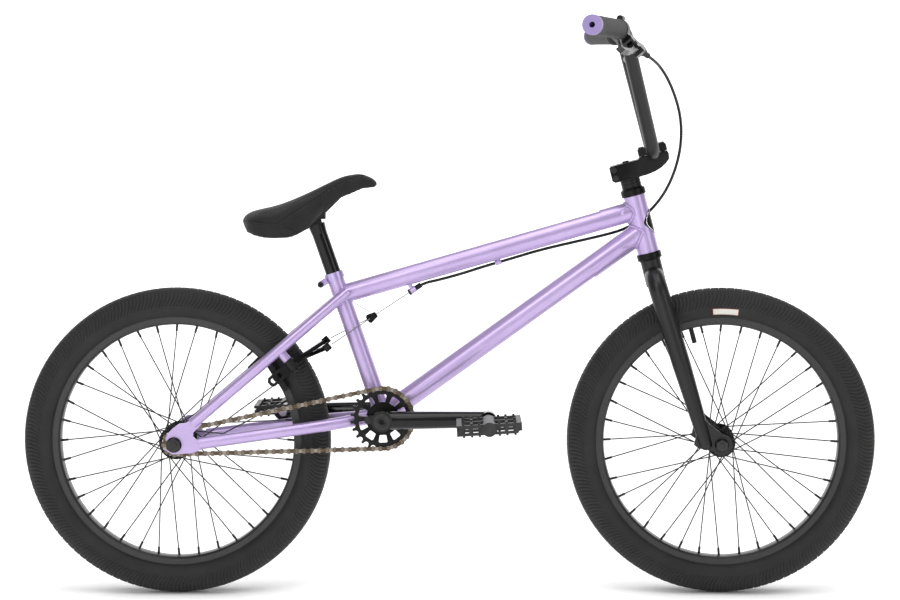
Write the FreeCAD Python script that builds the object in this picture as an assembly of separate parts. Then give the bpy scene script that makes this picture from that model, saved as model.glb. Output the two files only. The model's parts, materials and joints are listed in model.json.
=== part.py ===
"""A 20-inch freestyle BMX bicycle with a rear U-brake, in millimetres.

+X is forward, +Z is up and -Y is the rider's right, the chain side.  The origin lies on the
ground, midway between the two wheel axles.  The steering rests turned a few degrees right.
"""
import FreeCAD, Part
import math
import os

V = FreeCAD.Vector
X, Y = V(1, 0, 0), V(0, 1, 0)
SIDES = (-1, 1)

# ---------------------------------------------------------------- driving dimensions
WHEELBASE = 911.0
WHEEL_R = 257.5          # tyre outside
TYRE_SECTION_R = 29.0
SPOKES = 36
SPOKE_R = 1.0
ELBOW_R = 1.03
CROSS_ANGLE = 60.0       # hub hole to rim hole of a three-cross spoke

HEAD_ANGLE = 75.5
STEER_REST = 3.5         # degrees turned right at rest
FORK_OFFSET = 39.3
AXLE_TO_CROWN = 336.4    # along the steering axis, front axle to the head tube's lower end
HEAD_TUBE_L = 98.0
HEAD_TUBE_R = 18.0
HEAD_TUBE_WALL = 1.0

CHAIN_PITCH = 12.7
SPROCKET_TEETH = 25
COG_TEETH = 9
SPAN_LINKS = 27          # pitches in each straight run
CHAIN_LINE = -42.6
CHAINSTAY_ANGLE = 6.9

SEAT_ANGLE = 70.9
SEAT_TUBE_R = 14.3
SEAT_TUBE_L = 252.0
SEAT_POST_R = 12.7
TOP_TUBE_R = 15.9
DOWN_TUBE_R = 17.45
TOP_TUBE_REAR_Z = 502.6  # where the tubes' axes meet
TOP_TUBE_FRONT_S = 73.0
DOWN_TUBE_FRONT_S = 39.0
STAY_R = 10.0
SEATSTAY_R = 9.0
TUBE_WALL = 1.2

BB_SHELL_R = 22.5
BB_BORE_R = 20.6
BB_HALF_WIDTH = 34.0
CRANK_L = 175.0
CRANK_ANGLE = 1.2
SPINDLE_R = 11.0
RUN_FIT = 0.05           # radial clearance of a running fit

REAR_DROPOUT_Y = 55.0    # inner face
REAR_AXLE_R = 7.0
FRONT_DROPOUT_Y = 50.0
FRONT_AXLE_R = 4.76
DROPOUT_T = 6.0

BAR_R = 11.1
BAR_HALF_WIDTH = 368.0
GRIP_R = 15.2
HOUSING_R = 2.5
LEVER_DROP = 50.0        # how far forward and down the lever points, degrees


# ---------------------------------------------------------------- small helpers
def unit(v):
    return V(v) * (1.0 / v.Length)


def polar(centre, radius, degrees, y=0.0):
    """A point in a plane of constant Y, at an angle up from +X about a wheel's centre."""
    a = math.radians(degrees)
    return V(centre.x + radius * math.cos(a), y, centre.z + radius * math.sin(a))


def rod(a, b, radius):
    return Part.makeCylinder(radius, (b - a).Length, a, b - a)


def cone(a, b, radius_a, radius_b):
    return Part.makeCone(radius_a, radius_b, (b - a).Length, a, b - a)


def pipe(a, b, outer, inner):
    d = unit(b - a)
    return rod(a, b, outer).cut(rod(a - d, b + d, inner))


def ring_y(centre, y0, y1, outer, inner):
    """A ring about the Y direction through a centre, from y0 to y1."""
    return pipe(V(centre.x, y0, centre.z), V(centre.x, y1, centre.z), outer, inner)


def disc_y(centre, y0, y1, radius):
    return rod(V(centre.x, y0, centre.z), V(centre.x, y1, centre.z), radius)


def slab(outline, direction):
    """A flat outline pushed along a direction."""
    return Part.Face(Part.makePolygon(outline + [outline[0]])).extrude(direction)


def slab_y(points, centre, y0, y1):
    """An outline of (x, z) points about a centre, from y0 to y1."""
    outline = [V(centre.x + x, y0, centre.z + z) for x, z in points]
    return slab(outline, V(0, y1 - y0, 0))


def lathe(profile, centre, axis, across):
    """A solid turned from (radius, height) points or three-point arcs about an axis."""
    def place(p):
        return centre + across * p[0] + axis * p[1]
    edges = []
    for piece in profile:
        pts = [place(p) for p in piece]
        if len(pts) == 3:
            edges.append(Part.Arc(*pts).toShape())
        else:
            edges.append(Part.LineSegment(*pts).toShape())
    return Part.Face(Part.Wire(edges)).revolve(centre, axis, 360)


def chain_of_lines(points):
    """Straight pieces that join points in a closed loop."""
    return [(points[i], points[(i + 1) % len(points)]) for i in range(len(points))]


def rounded_path(points, radii):
    """Straight runs joined by tangent arcs of the given radii at the inner points."""
    edges, start = [], points[0]
    for before, corner, after, radius in zip(points, points[1:], points[2:], radii):
        d_in, d_out = unit(corner - before), unit(after - corner)
        turn = d_in.getAngle(d_out)
        reach = radius * math.tan(turn / 2)
        a, b = corner - d_in * reach, corner + d_out * reach
        inward = unit(d_out - d_in)
        middle = corner + inward * (radius / math.cos(turn / 2) - radius)
        edges += [Part.LineSegment(start, a).toShape(), Part.Arc(a, middle, b).toShape()]
        start = b
    edges.append(Part.LineSegment(start, points[-1]).toShape())
    return Part.Wire(edges)


def cord_radii(points):
    """The largest arcs that a hand-laid cord's runs allow."""
    radii = []
    for before, corner, after in zip(points, points[1:], points[2:]):
        turn = (corner - before).getAngle(after - corner)
        shorter = min((corner - before).Length, (after - corner).Length)
        radii.append(0.45 * shorter / math.tan(turn / 2))
    return radii


def sweep(path, radius):
    start = path.Edges[0].valueAt(path.Edges[0].FirstParameter)
    tangent = path.Edges[0].tangentAt(path.Edges[0].FirstParameter)
    section = Part.Wire([Part.makeCircle(radius, start, tangent)])
    return path.makePipeShell([section], True, False)


def fuse(first, *rest):
    return first.multiFuse(list(rest)).removeSplitter()


def hexagon(centre, y0, y1, across_flats):
    corner = across_flats / 2 / math.cos(math.radians(30))
    outline = [polar(centre, corner, 60 * k + 30, y0) for k in range(6)]
    return slab(outline, V(0, y1 - y0, 0))


nodes = {}


def add(name, *shapes):
    nodes.setdefault(name, []).extend(shapes)


# ---------------------------------------------------------------- the frame's key points
REAR = V(-WHEELBASE / 2, 0, WHEEL_R)
FRONT = V(WHEELBASE / 2, 0, WHEEL_R)

sprocket_pitch_r = CHAIN_PITCH / (2 * math.sin(math.pi / SPROCKET_TEETH))
cog_pitch_r = CHAIN_PITCH / (2 * math.sin(math.pi / COG_TEETH))
SPROCKET_WRAP = 14       # pitches lying on each wheel
COG_WRAP = 4
sprocket_half = math.radians(SPROCKET_WRAP * 180.0 / SPROCKET_TEETH)
cog_half = math.pi - math.radians(COG_WRAP * 180.0 / COG_TEETH)
rise = sprocket_pitch_r * math.sin(sprocket_half) - cog_pitch_r * math.sin(cog_half)
flat = math.sqrt((SPAN_LINKS * CHAIN_PITCH) ** 2 - rise ** 2)
CHAINSTAY_L = (flat - sprocket_pitch_r * math.cos(sprocket_half)
               + cog_pitch_r * math.cos(cog_half))
BB = polar(REAR, CHAINSTAY_L, CHAINSTAY_ANGLE)

head = math.radians(HEAD_ANGLE)
UP = V(-math.cos(head), 0, math.sin(head))         # along the steering axis
AHEAD = V(math.sin(head), 0, math.cos(head))       # square to it, forward
CROWN = FRONT - AHEAD * FORK_OFFSET + UP * AXLE_TO_CROWN


def steer_point(ahead, y, up):
    """A point in the steering frame: forward, left and up from the head tube's lower end."""
    return CROWN + AHEAD * ahead + Y * y + UP * up


def steered(shape):
    """The shape turned right with the steering."""
    turned = shape.copy()
    turned.rotate(CROWN, UP, -STEER_REST)
    return turned


def add_steered(name, *shapes):
    add(name, *[steered(s) for s in shapes])


seat = math.radians(SEAT_ANGLE)
SEAT_UP = V(-math.cos(seat), 0, math.sin(seat))
TUBE_JOINT = BB + SEAT_UP * ((TOP_TUBE_REAR_Z - BB.z) / math.sin(seat))
SEAT_TUBE_TOP = BB + SEAT_UP * SEAT_TUBE_L
top_front = steer_point(0, 0, TOP_TUBE_FRONT_S)
down_front = steer_point(0, 0, DOWN_TUBE_FRONT_S)
TOP_DIR = unit(top_front - TUBE_JOINT)
DOWN_DIR = unit(down_front - BB)


# ---------------------------------------------------------------- frame tubes
head_solid = rod(steer_point(0, 0, 0), steer_point(0, 0, HEAD_TUBE_L), HEAD_TUBE_R)
seat_solid = rod(BB, SEAT_TUBE_TOP, SEAT_TUBE_R)
shell_solid = disc_y(BB, -BB_HALF_WIDTH, BB_HALF_WIDTH, BB_SHELL_R)
top_solid = rod(TUBE_JOINT, top_front, TOP_TUBE_R)


def make_frame_tubes():
    bore = HEAD_TUBE_R - HEAD_TUBE_WALL
    add("head_tube", pipe(steer_point(0, 0, 0), steer_point(0, 0, HEAD_TUBE_L), HEAD_TUBE_R, bore))
    add("bottom_bracket_shell", ring_y(BB, -BB_HALF_WIDTH, BB_HALF_WIDTH, BB_SHELL_R, BB_BORE_R))
    bore = SEAT_POST_R + RUN_FIT
    seat_tube = pipe(BB, SEAT_TUBE_TOP, SEAT_TUBE_R, bore).cut(shell_solid)
    slot = slab([SEAT_TUBE_TOP + Y * s * 1.2 + SEAT_UP * 1 for s in SIDES]
                + [SEAT_TUBE_TOP + Y * s * 1.2 - SEAT_UP * 34 for s in (1, -1)], SEAT_AFT * 20)
    add("seat_tube", seat_tube.cut(slot))
    top_tube = pipe(TUBE_JOINT, top_front, TOP_TUBE_R, TOP_TUBE_R - TUBE_WALL)
    add("top_tube", top_tube.cut(head_solid).cut(seat_solid))
    down_tube = pipe(BB, down_front, DOWN_TUBE_R, DOWN_TUBE_R - TUBE_WALL)
    add("down_tube", down_tube.cut(head_solid).cut(shell_solid).cut(seat_solid).cut(top_solid))


SEAT_AFT = V(-math.sin(seat), 0, -math.cos(seat))

# Outline of the right dropout about the axle, as (x, z); its slot opens to the rear.
DROPOUT_OUTLINE = [(-13.5, 11), (-9, 20), (-2, 27), (9, 35), (19, 36), (33, 43), (46, 34), (32, 20),
                   (32, 13), (36, 9), (58, 8), (57, -4), (38, -11), (29, -14), (-3, -16), (-13.5, -9)]


def make_dropouts():
    for side in SIDES:
        y0 = side * REAR_DROPOUT_Y
        y1 = side * (REAR_DROPOUT_Y + DROPOUT_T)
        plate = slab_y(DROPOUT_OUTLINE, REAR, y0, y1)
        slot_r = REAR_AXLE_R + 0.1
        slot = disc_y(REAR, y0 - side, y1 + side, slot_r)
        mouth = slab_y([(-20, -slot_r), (0, -slot_r), (0, slot_r), (-20, slot_r)], REAR,
                       y0 - side, y1 + side)
        add("rear_dropouts", plate.cut(slot).cut(mouth))


def stay(points, radii, radius, side, plate, trims):
    """One hollow stay on one side, slotted over its dropout plate and mitred to the tubes."""
    route = [V(p.x, side * p.y, p.z) for p in points]
    path = rounded_path(route, radii)
    body = sweep(path, radius).cut(sweep(path, radius - TUBE_WALL))
    for trim in trims:
        body = body.cut(trim)
    return max(body.cut(plate).Solids, key=lambda s: s.Volume)


SEATSTAY_LOW = V(-424.5, 58.0, 292.5)
SEATSTAY_BEND = V(-272.0, 44.0, 422.0)
SEATSTAY_TOP = V(-168.0, 22.5, 510.0)
CHAINSTAY_LOW = V(-413.0, 58.0, 259.5)
CHAINSTAY_WIDE = V(-214.0, 46.0, 286.5)
CHAINSTAY_WAIST = V(-164.0, 26.0, 292.7)


def make_stays():
    plates = nodes["rear_dropouts"]
    for side, plate in zip(SIDES, plates):
        add("seatstays", stay([SEATSTAY_LOW, SEATSTAY_BEND, SEATSTAY_TOP], [400], SEATSTAY_R, side,
                              plate, [seat_solid, top_solid]))
        front = V(BB.x - 6, CHAINSTAY_WAIST.y - 4, BB.z)
        add("chainstays", stay([CHAINSTAY_LOW, CHAINSTAY_WIDE, CHAINSTAY_WAIST, front],
                               [120, 60], STAY_R, side, plate, [shell_solid]))
    bridge_x = -172.0
    bridge_z = 291.7
    bridge = rod(V(bridge_x, -30, bridge_z), V(bridge_x, 30, bridge_z), 6)
    for solid in nodes["chainstays"]:
        bridge = bridge.cut(solid)
    middle = min(bridge.Solids, key=lambda s: abs(s.CenterOfMass.y))
    add("chainstays", middle)


def half_sleeve(start, direction, length, radius, outward, trims):
    """A thin strengthening plate that wraps one side of a tube near its joint."""
    end = start + direction * length
    shell = pipe(start, end, radius + 1.8, radius)
    across = direction.cross(outward)
    wide = radius * 2
    keep = slab([start + across * s * wide for s in SIDES]
                + [end + across * s * wide * 0.25 for s in (1, -1)], outward * wide)
    kept = shell.common(keep)
    for trim in trims:
        kept = kept.cut(trim)
    return max(kept.Solids, key=lambda s: s.Volume)


# ---------------------------------------------------------------- brake geometry
STAY_DIR = unit(V(0.763, 0, 0.646))
PIVOT_DIR = V(STAY_DIR.z, 0, -STAY_DIR.x)   # forward and down, square to the seatstays
PIVOT_FOOT = V(-282.2, 0, 413.4)
PIVOT_Y = 43.5
PIVOT_R = 4.0


def brake_point(u, y, w):
    """A point by the rear brake: along the stays, sideways, and out along the pivots."""
    return PIVOT_FOOT + STAY_DIR * u + Y * y + PIVOT_DIR * w


def make_braze_ons():
    top_out = V(-TOP_DIR.z, 0, TOP_DIR.x)
    down_out = V(DOWN_DIR.z, 0, -DOWN_DIR.x)
    add("frame_braze_ons",
        half_sleeve(top_front - TOP_DIR * 62, TOP_DIR, 55, TOP_TUBE_R, top_out, [head_solid]),
        half_sleeve(down_front - DOWN_DIR * 110, DOWN_DIR, 104, DOWN_TUBE_R, down_out, [head_solid]))
    for side in SIDES:
        boss = pipe(brake_point(0, side * PIVOT_Y, 4), brake_point(0, side * PIVOT_Y, 22), 7.5, 3.0)
        for solid in nodes["seatstays"]:
            boss = boss.cut(solid)
        add("frame_braze_ons", max(boss.Solids, key=lambda s: s.Volume))
        pivot = rod(brake_point(0, side * PIVOT_Y, 22), brake_point(0, side * PIVOT_Y, 41), PIVOT_R)
        screw = rod(brake_point(0, side * PIVOT_Y, 10), brake_point(0, side * PIVOT_Y, 22), 3.0)
        bolt = rod(brake_point(0, side * PIVOT_Y, 41), brake_point(0, side * PIVOT_Y, 46), 6.5)
        add("frame_bolts", fuse(pivot, screw, bolt))


SEAT_CLAMP_DROP = 9.0


def make_seat_clamp():
    low = SEAT_TUBE_TOP - SEAT_UP * SEAT_CLAMP_DROP
    band = rod(low, SEAT_TUBE_TOP + SEAT_UP * 2.5, SEAT_TUBE_R + 1.9)
    ear_at = low + SEAT_AFT * 26 - SEAT_UP * 0.5
    ears = []
    for side in SIDES:
        ear_in, ear_out = ear_at + Y * side * 1.5, ear_at + Y * side * 8.5
        root_in = low + SEAT_UP * 4 + Y * side * 1.5
        web = slab([ear_in + SEAT_UP * 5.5, ear_in - SEAT_UP * 5.5, root_in - SEAT_UP * 4,
                    root_in + SEAT_UP * 6.5], Y * side * 7)
        ears += [rod(ear_in, ear_out, 5.5), web]
    body = fuse(band, *ears)
    body = body.cut(rod(low - SEAT_UP * 12, SEAT_TUBE_TOP, SEAT_TUBE_R))
    body = body.cut(rod(low - SEAT_UP, SEAT_TUBE_TOP + SEAT_UP * 9, SEAT_POST_R + RUN_FIT))
    split = slab([low + Y * s * 1.5 - SEAT_UP * 9 for s in SIDES]
                 + [SEAT_TUBE_TOP + Y * s * 1.5 + SEAT_UP * 9 for s in (1, -1)], SEAT_AFT * 30)
    body = body.cut(split).cut(rod(ear_at - Y * 20, ear_at + Y * 20, 3.0))
    add("seat_clamp", body)
    head_part = rod(ear_at - Y * 12.5, ear_at - Y * 8.5, 4.8)
    socket = hexagon(ear_at, -13.5, -10.0, 4.0)
    shank = rod(ear_at - Y * 8.5, ear_at + Y * 8.5, 3.0)
    nut = rod(ear_at + Y * 8.5, ear_at + Y * 12.5, 4.8)
    add("frame_bolts", fuse(head_part.cut(socket), shank, nut))


# ---------------------------------------------------------------- headset
def turned_up(profile, base):
    """A turned part on the steering axis, from (radius, height) points above a base height."""
    points = [(r, base + h) for r, h in profile]
    return lathe(chain_of_lines(points), CROWN, UP, Y)


CUP_R = 20.6
CUP_H = 11.5
STEERER_R = 14.3
BEARING_OUT = 19.0


def make_headset():
    bore = HEAD_TUBE_R - HEAD_TUBE_WALL
    cup = [(bore - 1.2, 9), (bore, 9), (bore, 0), (CUP_R - 1.2, 0), (CUP_R, -1.2),
           (CUP_R, -CUP_H + 1), (CUP_R - 1, -CUP_H), (BEARING_OUT, -CUP_H), (BEARING_OUT, -2),
           (bore - 1.2, -2)]
    flipped = [(r, -h) for r, h in cup]
    add("headset_cups", turned_up(cup, 0), turned_up(flipped, HEAD_TUBE_L))
    inner = STEERER_R + RUN_FIT
    for base, sign in ((0, -1), (HEAD_TUBE_L, 1)):
        a, b = sorted((base + sign * 2.0, base + sign * 9.5))
        ring = [(inner, a), (BEARING_OUT, a), (BEARING_OUT, b), (inner, b)]
        add("headset_bearings", turned_up(ring, 0))
    cover = [(STEERER_R, 10), (18.6, 10), (18.6, 12.2), (16.5, 14), (STEERER_R, 14)]
    spacers = [turned_up(cover, HEAD_TUBE_L)]
    for k in range(3):
        low = HEAD_TUBE_L + 14.0 + 5.0 * k
        spacers.append(turned_up([(STEERER_R, 0.05), (16.6, 0.05), (16.6, 4.95), (STEERER_R, 4.95)],
                                 low))
    race = [(STEERER_R, -13), (18.0, -13), (18.0, -10), (STEERER_R, -10)]
    spacers.append(turned_up(race, 0))
    add_steered("headset_spacers", *spacers)


# ---------------------------------------------------------------- fork
LEG_TOP_Y = 47.0
LEG_LOW_Y = 53.0
LEG_BEND_S = -40.0
LEG_BEND_R = 30.0
LEG_R = 15.9
LEG_LOW_R = 11.0
LEG_LOW_AHEAD = 14.0
LEG_LOW_S = -328.0
CROWN_LOW_S = -56.0
CROWN_R = 17.0


def leg_form(side, thinner):
    """One fork leg from the steerer's base round the crown bend and down, made thinner all round."""
    elbow = steer_point(0, side * LEG_TOP_Y, LEG_BEND_S)
    low = steer_point(LEG_LOW_AHEAD, side * LEG_LOW_Y, LEG_LOW_S)
    down = unit(low - elbow)
    knee = elbow + down * (LEG_BEND_R + 4)
    path = rounded_path([steer_point(0, side * 6, LEG_BEND_S), elbow, knee], [LEG_BEND_R - 0.5])
    middle = knee + (low - knee) * 0.45
    end = low - down * (thinner * 4)
    r_top, r_mid, r_low = LEG_R - thinner, LEG_R - 0.6 - thinner, LEG_LOW_R - thinner
    form = [sweep(path, r_top), cone(knee, middle, r_top, r_mid), cone(middle, end, r_mid, r_low)]
    if not thinner:
        form.append(Part.makeSphere(r_low, low))
    return fuse(*form)


def make_fork():
    top_s = HEAD_TUBE_L + 53.0
    upper = rod(steer_point(0, 0, -13.05), steer_point(0, 0, top_s), STEERER_R)
    base = rod(steer_point(0, 0, CROWN_LOW_S), steer_point(0, 0, -13.05), CROWN_R)
    bore = rod(steer_point(0, 0, CROWN_LOW_S - 1), steer_point(0, 0, top_s + 1), STEERER_R - 2.4)
    add_steered("fork_steerer", fuse(upper, base).cut(bore))
    base_solid = rod(steer_point(0, 0, CROWN_LOW_S - 20), steer_point(0, 0, -10), CROWN_R)
    for side in SIDES:
        leg = leg_form(side, 0).cut(leg_form(side, 1.9)).cut(base_solid)
        y0, y1 = side * FRONT_DROPOUT_Y, side * (FRONT_DROPOUT_Y + DROPOUT_T)
        tab = slab_y([(-46, 0), (-36, 44), (-27, 42), (-22, 36), (3, 17), (3, -17), (-14, -10),
                      (-38, -6)], FRONT, y0, y1)
        plate = fuse(tab, disc_y(FRONT, y0, y1, 17.5))
        hole = disc_y(FRONT, y0 - side, y1 + side, FRONT_AXLE_R + 0.05)
        plate = plate.cut(hole)
        leg = max(leg.cut(plate).Solids, key=lambda s: s.Volume)
        add_steered("fork_legs", leg)
        add_steered("fork_legs", plate)


# ---------------------------------------------------------------- wheels
def tyre_profile():
    """The casing's outer line and inner line, one side and its mirror, as arcs and lines."""
    middle = WHEEL_R - TYRE_SECTION_R
    d = TYRE_SECTION_R * math.sqrt(0.5)
    tread_in = TYRE_SECTION_R - 4.2
    side_in = TYRE_SECTION_R - 2.2
    e = math.sqrt(0.5)
    outer = [((203.4, 10.6), (203.4, 14.3)), ((203.4, 14.3), (210.6, 14.3)),
             ((210.6, 14.3), (218.2, 25.4), (middle, TYRE_SECTION_R)),
             ((middle, TYRE_SECTION_R), (middle + d, d), (WHEEL_R, 0))]
    inner = [((middle + tread_in, 0), (middle + tread_in * e, side_in * e), (middle, side_in)),
             ((middle, side_in), (218.6, 22.8), (211.5, 12.2)),
             ((211.5, 12.2), (209.0, 11.4)), ((209.0, 11.4), (203.4, 10.6))]

    def flip(pieces):
        return [tuple((r, -y) for r, y in reversed(piece)) for piece in reversed(pieces)]
    return outer + flip(outer) + flip(inner) + inner


RIM_PROFILE = [(196.2, 12), (195.2, 6), (195.2, -6), (196.2, -12), (199.5, -16), (208.4, -16.5),
               (209.0, -16.0), (209.0, -15.0), (208.4, -14.6), (203.2, -14.5), (202.9, -10.2),
               (198.2, -8), (198.2, 8), (202.9, 10.2), (203.2, 14.5), (208.4, 14.6),
               (209.0, 15.0), (209.0, 16.0), (208.4, 16.5), (199.5, 16)]
NIPPLE_L = 11.5
RIM_BED_R = 195.2
FLANGE_T = 3.0
FLANGE_EDGE = 4.0        # flange metal outside the spoke holes' circle
VALVE_R = 4.0


def spoke_line(centre, hub_r, side, flange_y, k):
    """Head, elbow, bend past the flange's edge, and nipple ends of one spoke; every second leads."""
    step = 720.0 / SPOKES
    hub_angle = step * k + (0 if side < 0 else step / 2)
    lead = 1 if k % 2 == 0 else -1
    rim_angle = hub_angle + lead * CROSS_ANGLE
    out = side * lead * (FLANGE_T / 2 + SPOKE_R + 0.05)
    elbow = polar(centre, hub_r, hub_angle, side * flange_y + out)
    head_end = polar(centre, hub_r, hub_angle, side * flange_y - side * lead * (FLANGE_T / 2 + 1.0))
    rim_end = polar(centre, RIM_BED_R, rim_angle, side * 2.5)
    flat_run = V(rim_end.x - elbow.x, 0, rim_end.z - elbow.z)
    bend = elbow + unit(flat_run) * (FLANGE_EDGE * 3.4)
    along = unit(rim_end - bend)
    return head_end, elbow, bend, rim_end - along * NIPPLE_L, rim_end + along * 4.0


def make_wheel(name, centre, hub_r, flange_y, hub_profile, bore_y, bearing_r, axle_r, valve_angle,
               put):
    """Tyre, inner tube, rim, spokes with nipples, hub and its two bearings."""
    middle = WHEEL_R - TYRE_SECTION_R + 1.5
    put(name + "_tyre", lathe(tyre_profile(), centre, Y, X))
    ring = Part.makeTorus(middle, 21.5, centre, Y).cut(Part.makeTorus(middle, 20.5, centre, Y))
    stem = rod(polar(centre, middle - 21.2, valve_angle), polar(centre, 170, valve_angle), VALVE_R)
    put(name + "_inner_tube", fuse(ring, stem))
    rim = lathe(chain_of_lines(RIM_PROFILE), centre, Y, X)
    rim = rim.cut(rod(polar(centre, 180, valve_angle), polar(centre, 205, valve_angle), VALVE_R + 0.1))
    hub = lathe(chain_of_lines(hub_profile), centre, Y, X)
    rim_holes, hub_holes, spokes, nipples = [], [], [], []
    for side in SIDES:
        for k in range(SPOKES // 2):
            head_end, elbow, bend, low, high = spoke_line(centre, hub_r, side, flange_y, k)
            along, inward = unit(high - low), unit(head_end - elbow)
            rim_holes.append(rod(low, high + along * 5, 2.15))
            hub_holes.append(rod(elbow, head_end, SPOKE_R + 0.15))
            spokes.append(fuse(rod(bend, low, SPOKE_R), rod(elbow, bend, SPOKE_R),
                               Part.makeSphere(ELBOW_R, elbow), Part.makeSphere(ELBOW_R, bend),
                               rod(elbow, head_end, SPOKE_R),
                               rod(head_end - inward * 0.9, head_end, 2.0)))
            nipples.append(fuse(rod(low, high - along * 0.2, 2.0),
                                rod(high - along * 0.2, high + along * 1.6, 3.2)))
    put(name + "_rim", rim.cut(Part.makeCompound(rim_holes)))
    put(name + "_hub", hub.cut(Part.makeCompound(hub_holes)))
    put(name + "_spokes", *spokes)
    put(name + "_spokes", *nipples)
    for a, b in bore_y:
        put(name + "_hub", ring_y(centre, a, b, bearing_r, axle_r + RUN_FIT))


def flanged_hub(hub_r, flange_y, end_y, barrel_r, end_r, bore_r, seat_depth, through_r):
    """(radius, y) outline of a hub shell whose ends are bored for bearings."""
    f0, f1 = flange_y - FLANGE_T / 2, flange_y + FLANGE_T / 2
    half = [(barrel_r, 0), (barrel_r, flange_y * 0.45), (barrel_r + 1.5, f0 - 1.2), (hub_r - 2.6, f0),
            (hub_r + FLANGE_EDGE - 0.4, f0 + 0.4), (hub_r + FLANGE_EDGE, flange_y),
            (hub_r + FLANGE_EDGE - 0.4, f1 - 0.4), (hub_r - 2.6, f1),
            (end_r, f1 + 1.0), (end_r, end_y), (bore_r, end_y), (bore_r, end_y - seat_depth),
            (through_r, end_y - seat_depth), (through_r, 0)]
    other = [(r, -y) for r, y in reversed(half) if y != 0]
    return half + other


WASHER_T = 2.2
NUT_H = 10.0
THREAD_DEPTH = 0.25


def axle_set(centre, axle_r, end_y, dropout_in, dropout_out, cones, nut_flats):
    """Axle, cones, washers and nuts. The cones are the (inner, outer) distances on each side.

    The axle is slightly thinner inside each washer and nut, and full size at its free ends.
    """
    washer_y = dropout_out + WASHER_T
    nut_end = washer_y + NUT_H
    shaft = disc_y(centre, -end_y, end_y, axle_r)
    thread_r = axle_r - THREAD_DEPTH
    for side in SIDES:
        shaft = shaft.cut(ring_y(centre, side * dropout_out, side * (nut_end + 0.1), axle_r + 1, thread_r))
    pieces = [shaft]
    for side, gap in zip(SIDES, cones):
        pieces.append(ring_y(centre, side * gap[0], side * dropout_in, gap[1], axle_r))
        pieces.append(ring_y(centre, side * dropout_out, side * washer_y, 12.0, thread_r))
        nut = hexagon(centre, side * (washer_y + 1.6), side * nut_end, nut_flats)
        flange = cone(V(centre.x, side * washer_y, centre.z),
                      V(centre.x, side * (washer_y + 3), centre.z), nut_flats * 0.62, nut_flats * 0.54)
        pieces.append(fuse(nut, flange).cut(disc_y(centre, -end_y, end_y, thread_r)))
    return pieces


def make_front_wheel():
    profile = flanged_hub(20.0, 32.0, 38.0, 13.0, 15.5, 13.0, 9.0, 7.0)
    make_wheel("front", FRONT, 20.0, 32.0, profile, [(-37.8, -29.0), (29.0, 37.8)], 13.0, FRONT_AXLE_R,
               105.0, add_steered)
    add_steered("front_axle", *axle_set(FRONT, FRONT_AXLE_R, 72.0, FRONT_DROPOUT_Y,
                                        FRONT_DROPOUT_Y + DROPOUT_T, [(38.2, 9.0), (38.2, 9.0)], 19.0))


def make_rear_wheel():
    profile = flanged_hub(24.5, 30.5, 36.0, 17.0, 18.5, 14.5, 9.0, 9.0)
    make_wheel("rear", REAR, 24.5, 30.5, profile, [(-35.8, -27.0), (27.0, 35.8)], 14.5, REAR_AXLE_R,
               45.0, add)
    add("rear_axle", *axle_set(REAR, REAR_AXLE_R, 78.0, REAR_DROPOUT_Y, REAR_DROPOUT_Y + DROPOUT_T,
                               [(49.5, 11.0), (36.2, 11.0)], 21.0))


# ---------------------------------------------------------------- drive
ROLLER_R = 3.87
ROLLER_SEAT_R = 3.96


def toothed_disc(centre, teeth, pitch_r, y0, y1, phase):
    """A disc whose teeth stand between round roller seats, each flank an arc about its neighbour."""
    seats = [polar(centre, pitch_r, phase + 360.0 * k / teeth) for k in range(teeth)]
    flank_r = CHAIN_PITCH - ROLLER_SEAT_R
    limit = disc_y(centre, y0, y1, pitch_r + 3.0)
    body = [disc_y(centre, y0, y1, pitch_r * math.cos(math.pi / teeth))]
    for k in range(teeth):
        a, b = seats[k], seats[(k + 1) % teeth]
        body.append(disc_y(a, y0, y1, flank_r).common(disc_y(b, y0, y1, flank_r)).common(limit))
    gaps = [disc_y(seat_at, y0 - 1, y1 + 1, ROLLER_SEAT_R) for seat_at in seats]
    return fuse(body[0], *body[1:]).cut(Part.makeCompound(gaps))


def chain_pins():
    """The pins' places round both wheels, in order, starting at the top of the sprocket."""
    def on(centre, radius, degrees):
        return polar(centre, radius, degrees + CHAINSTAY_ANGLE, CHAIN_LINE)
    half_a, half_b = math.degrees(sprocket_half), math.degrees(cog_half)
    round_front = [on(BB, sprocket_pitch_r, half_a - k * 360.0 / SPROCKET_TEETH)
                   for k in range(SPROCKET_WRAP + 1)]
    round_rear = [on(REAR, cog_pitch_r, -half_b - k * 360.0 / COG_TEETH) for k in range(COG_WRAP + 1)]
    pins = list(round_front)
    for a, b, tail in ((round_front[-1], round_rear[0], round_rear),
                       (round_rear[-1], round_front[0], [])):
        pins += [a + (b - a) * (k / float(SPAN_LINKS)) for k in range(1, SPAN_LINKS)] + tail
    return pins


CHAIN_PIN_R = 1.8


def link_plate(a, b, y0, y1, waist):
    """A figure-of-eight side plate between two pins."""
    ends = [disc_y(p, CHAIN_LINE + y0, CHAIN_LINE + y1, 4.2) for p in (a, b)]
    along = unit(b - a)
    across = V(-along.z, 0, along.x) * waist
    base = [V(p.x, CHAIN_LINE + y0, p.z) for p in (a, b)]
    bar = slab([base[0] + across, base[1] + across, base[1] - across, base[0] - across],
               V(0, y1 - y0, 0))
    return fuse(ends[0], ends[1], bar)


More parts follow.
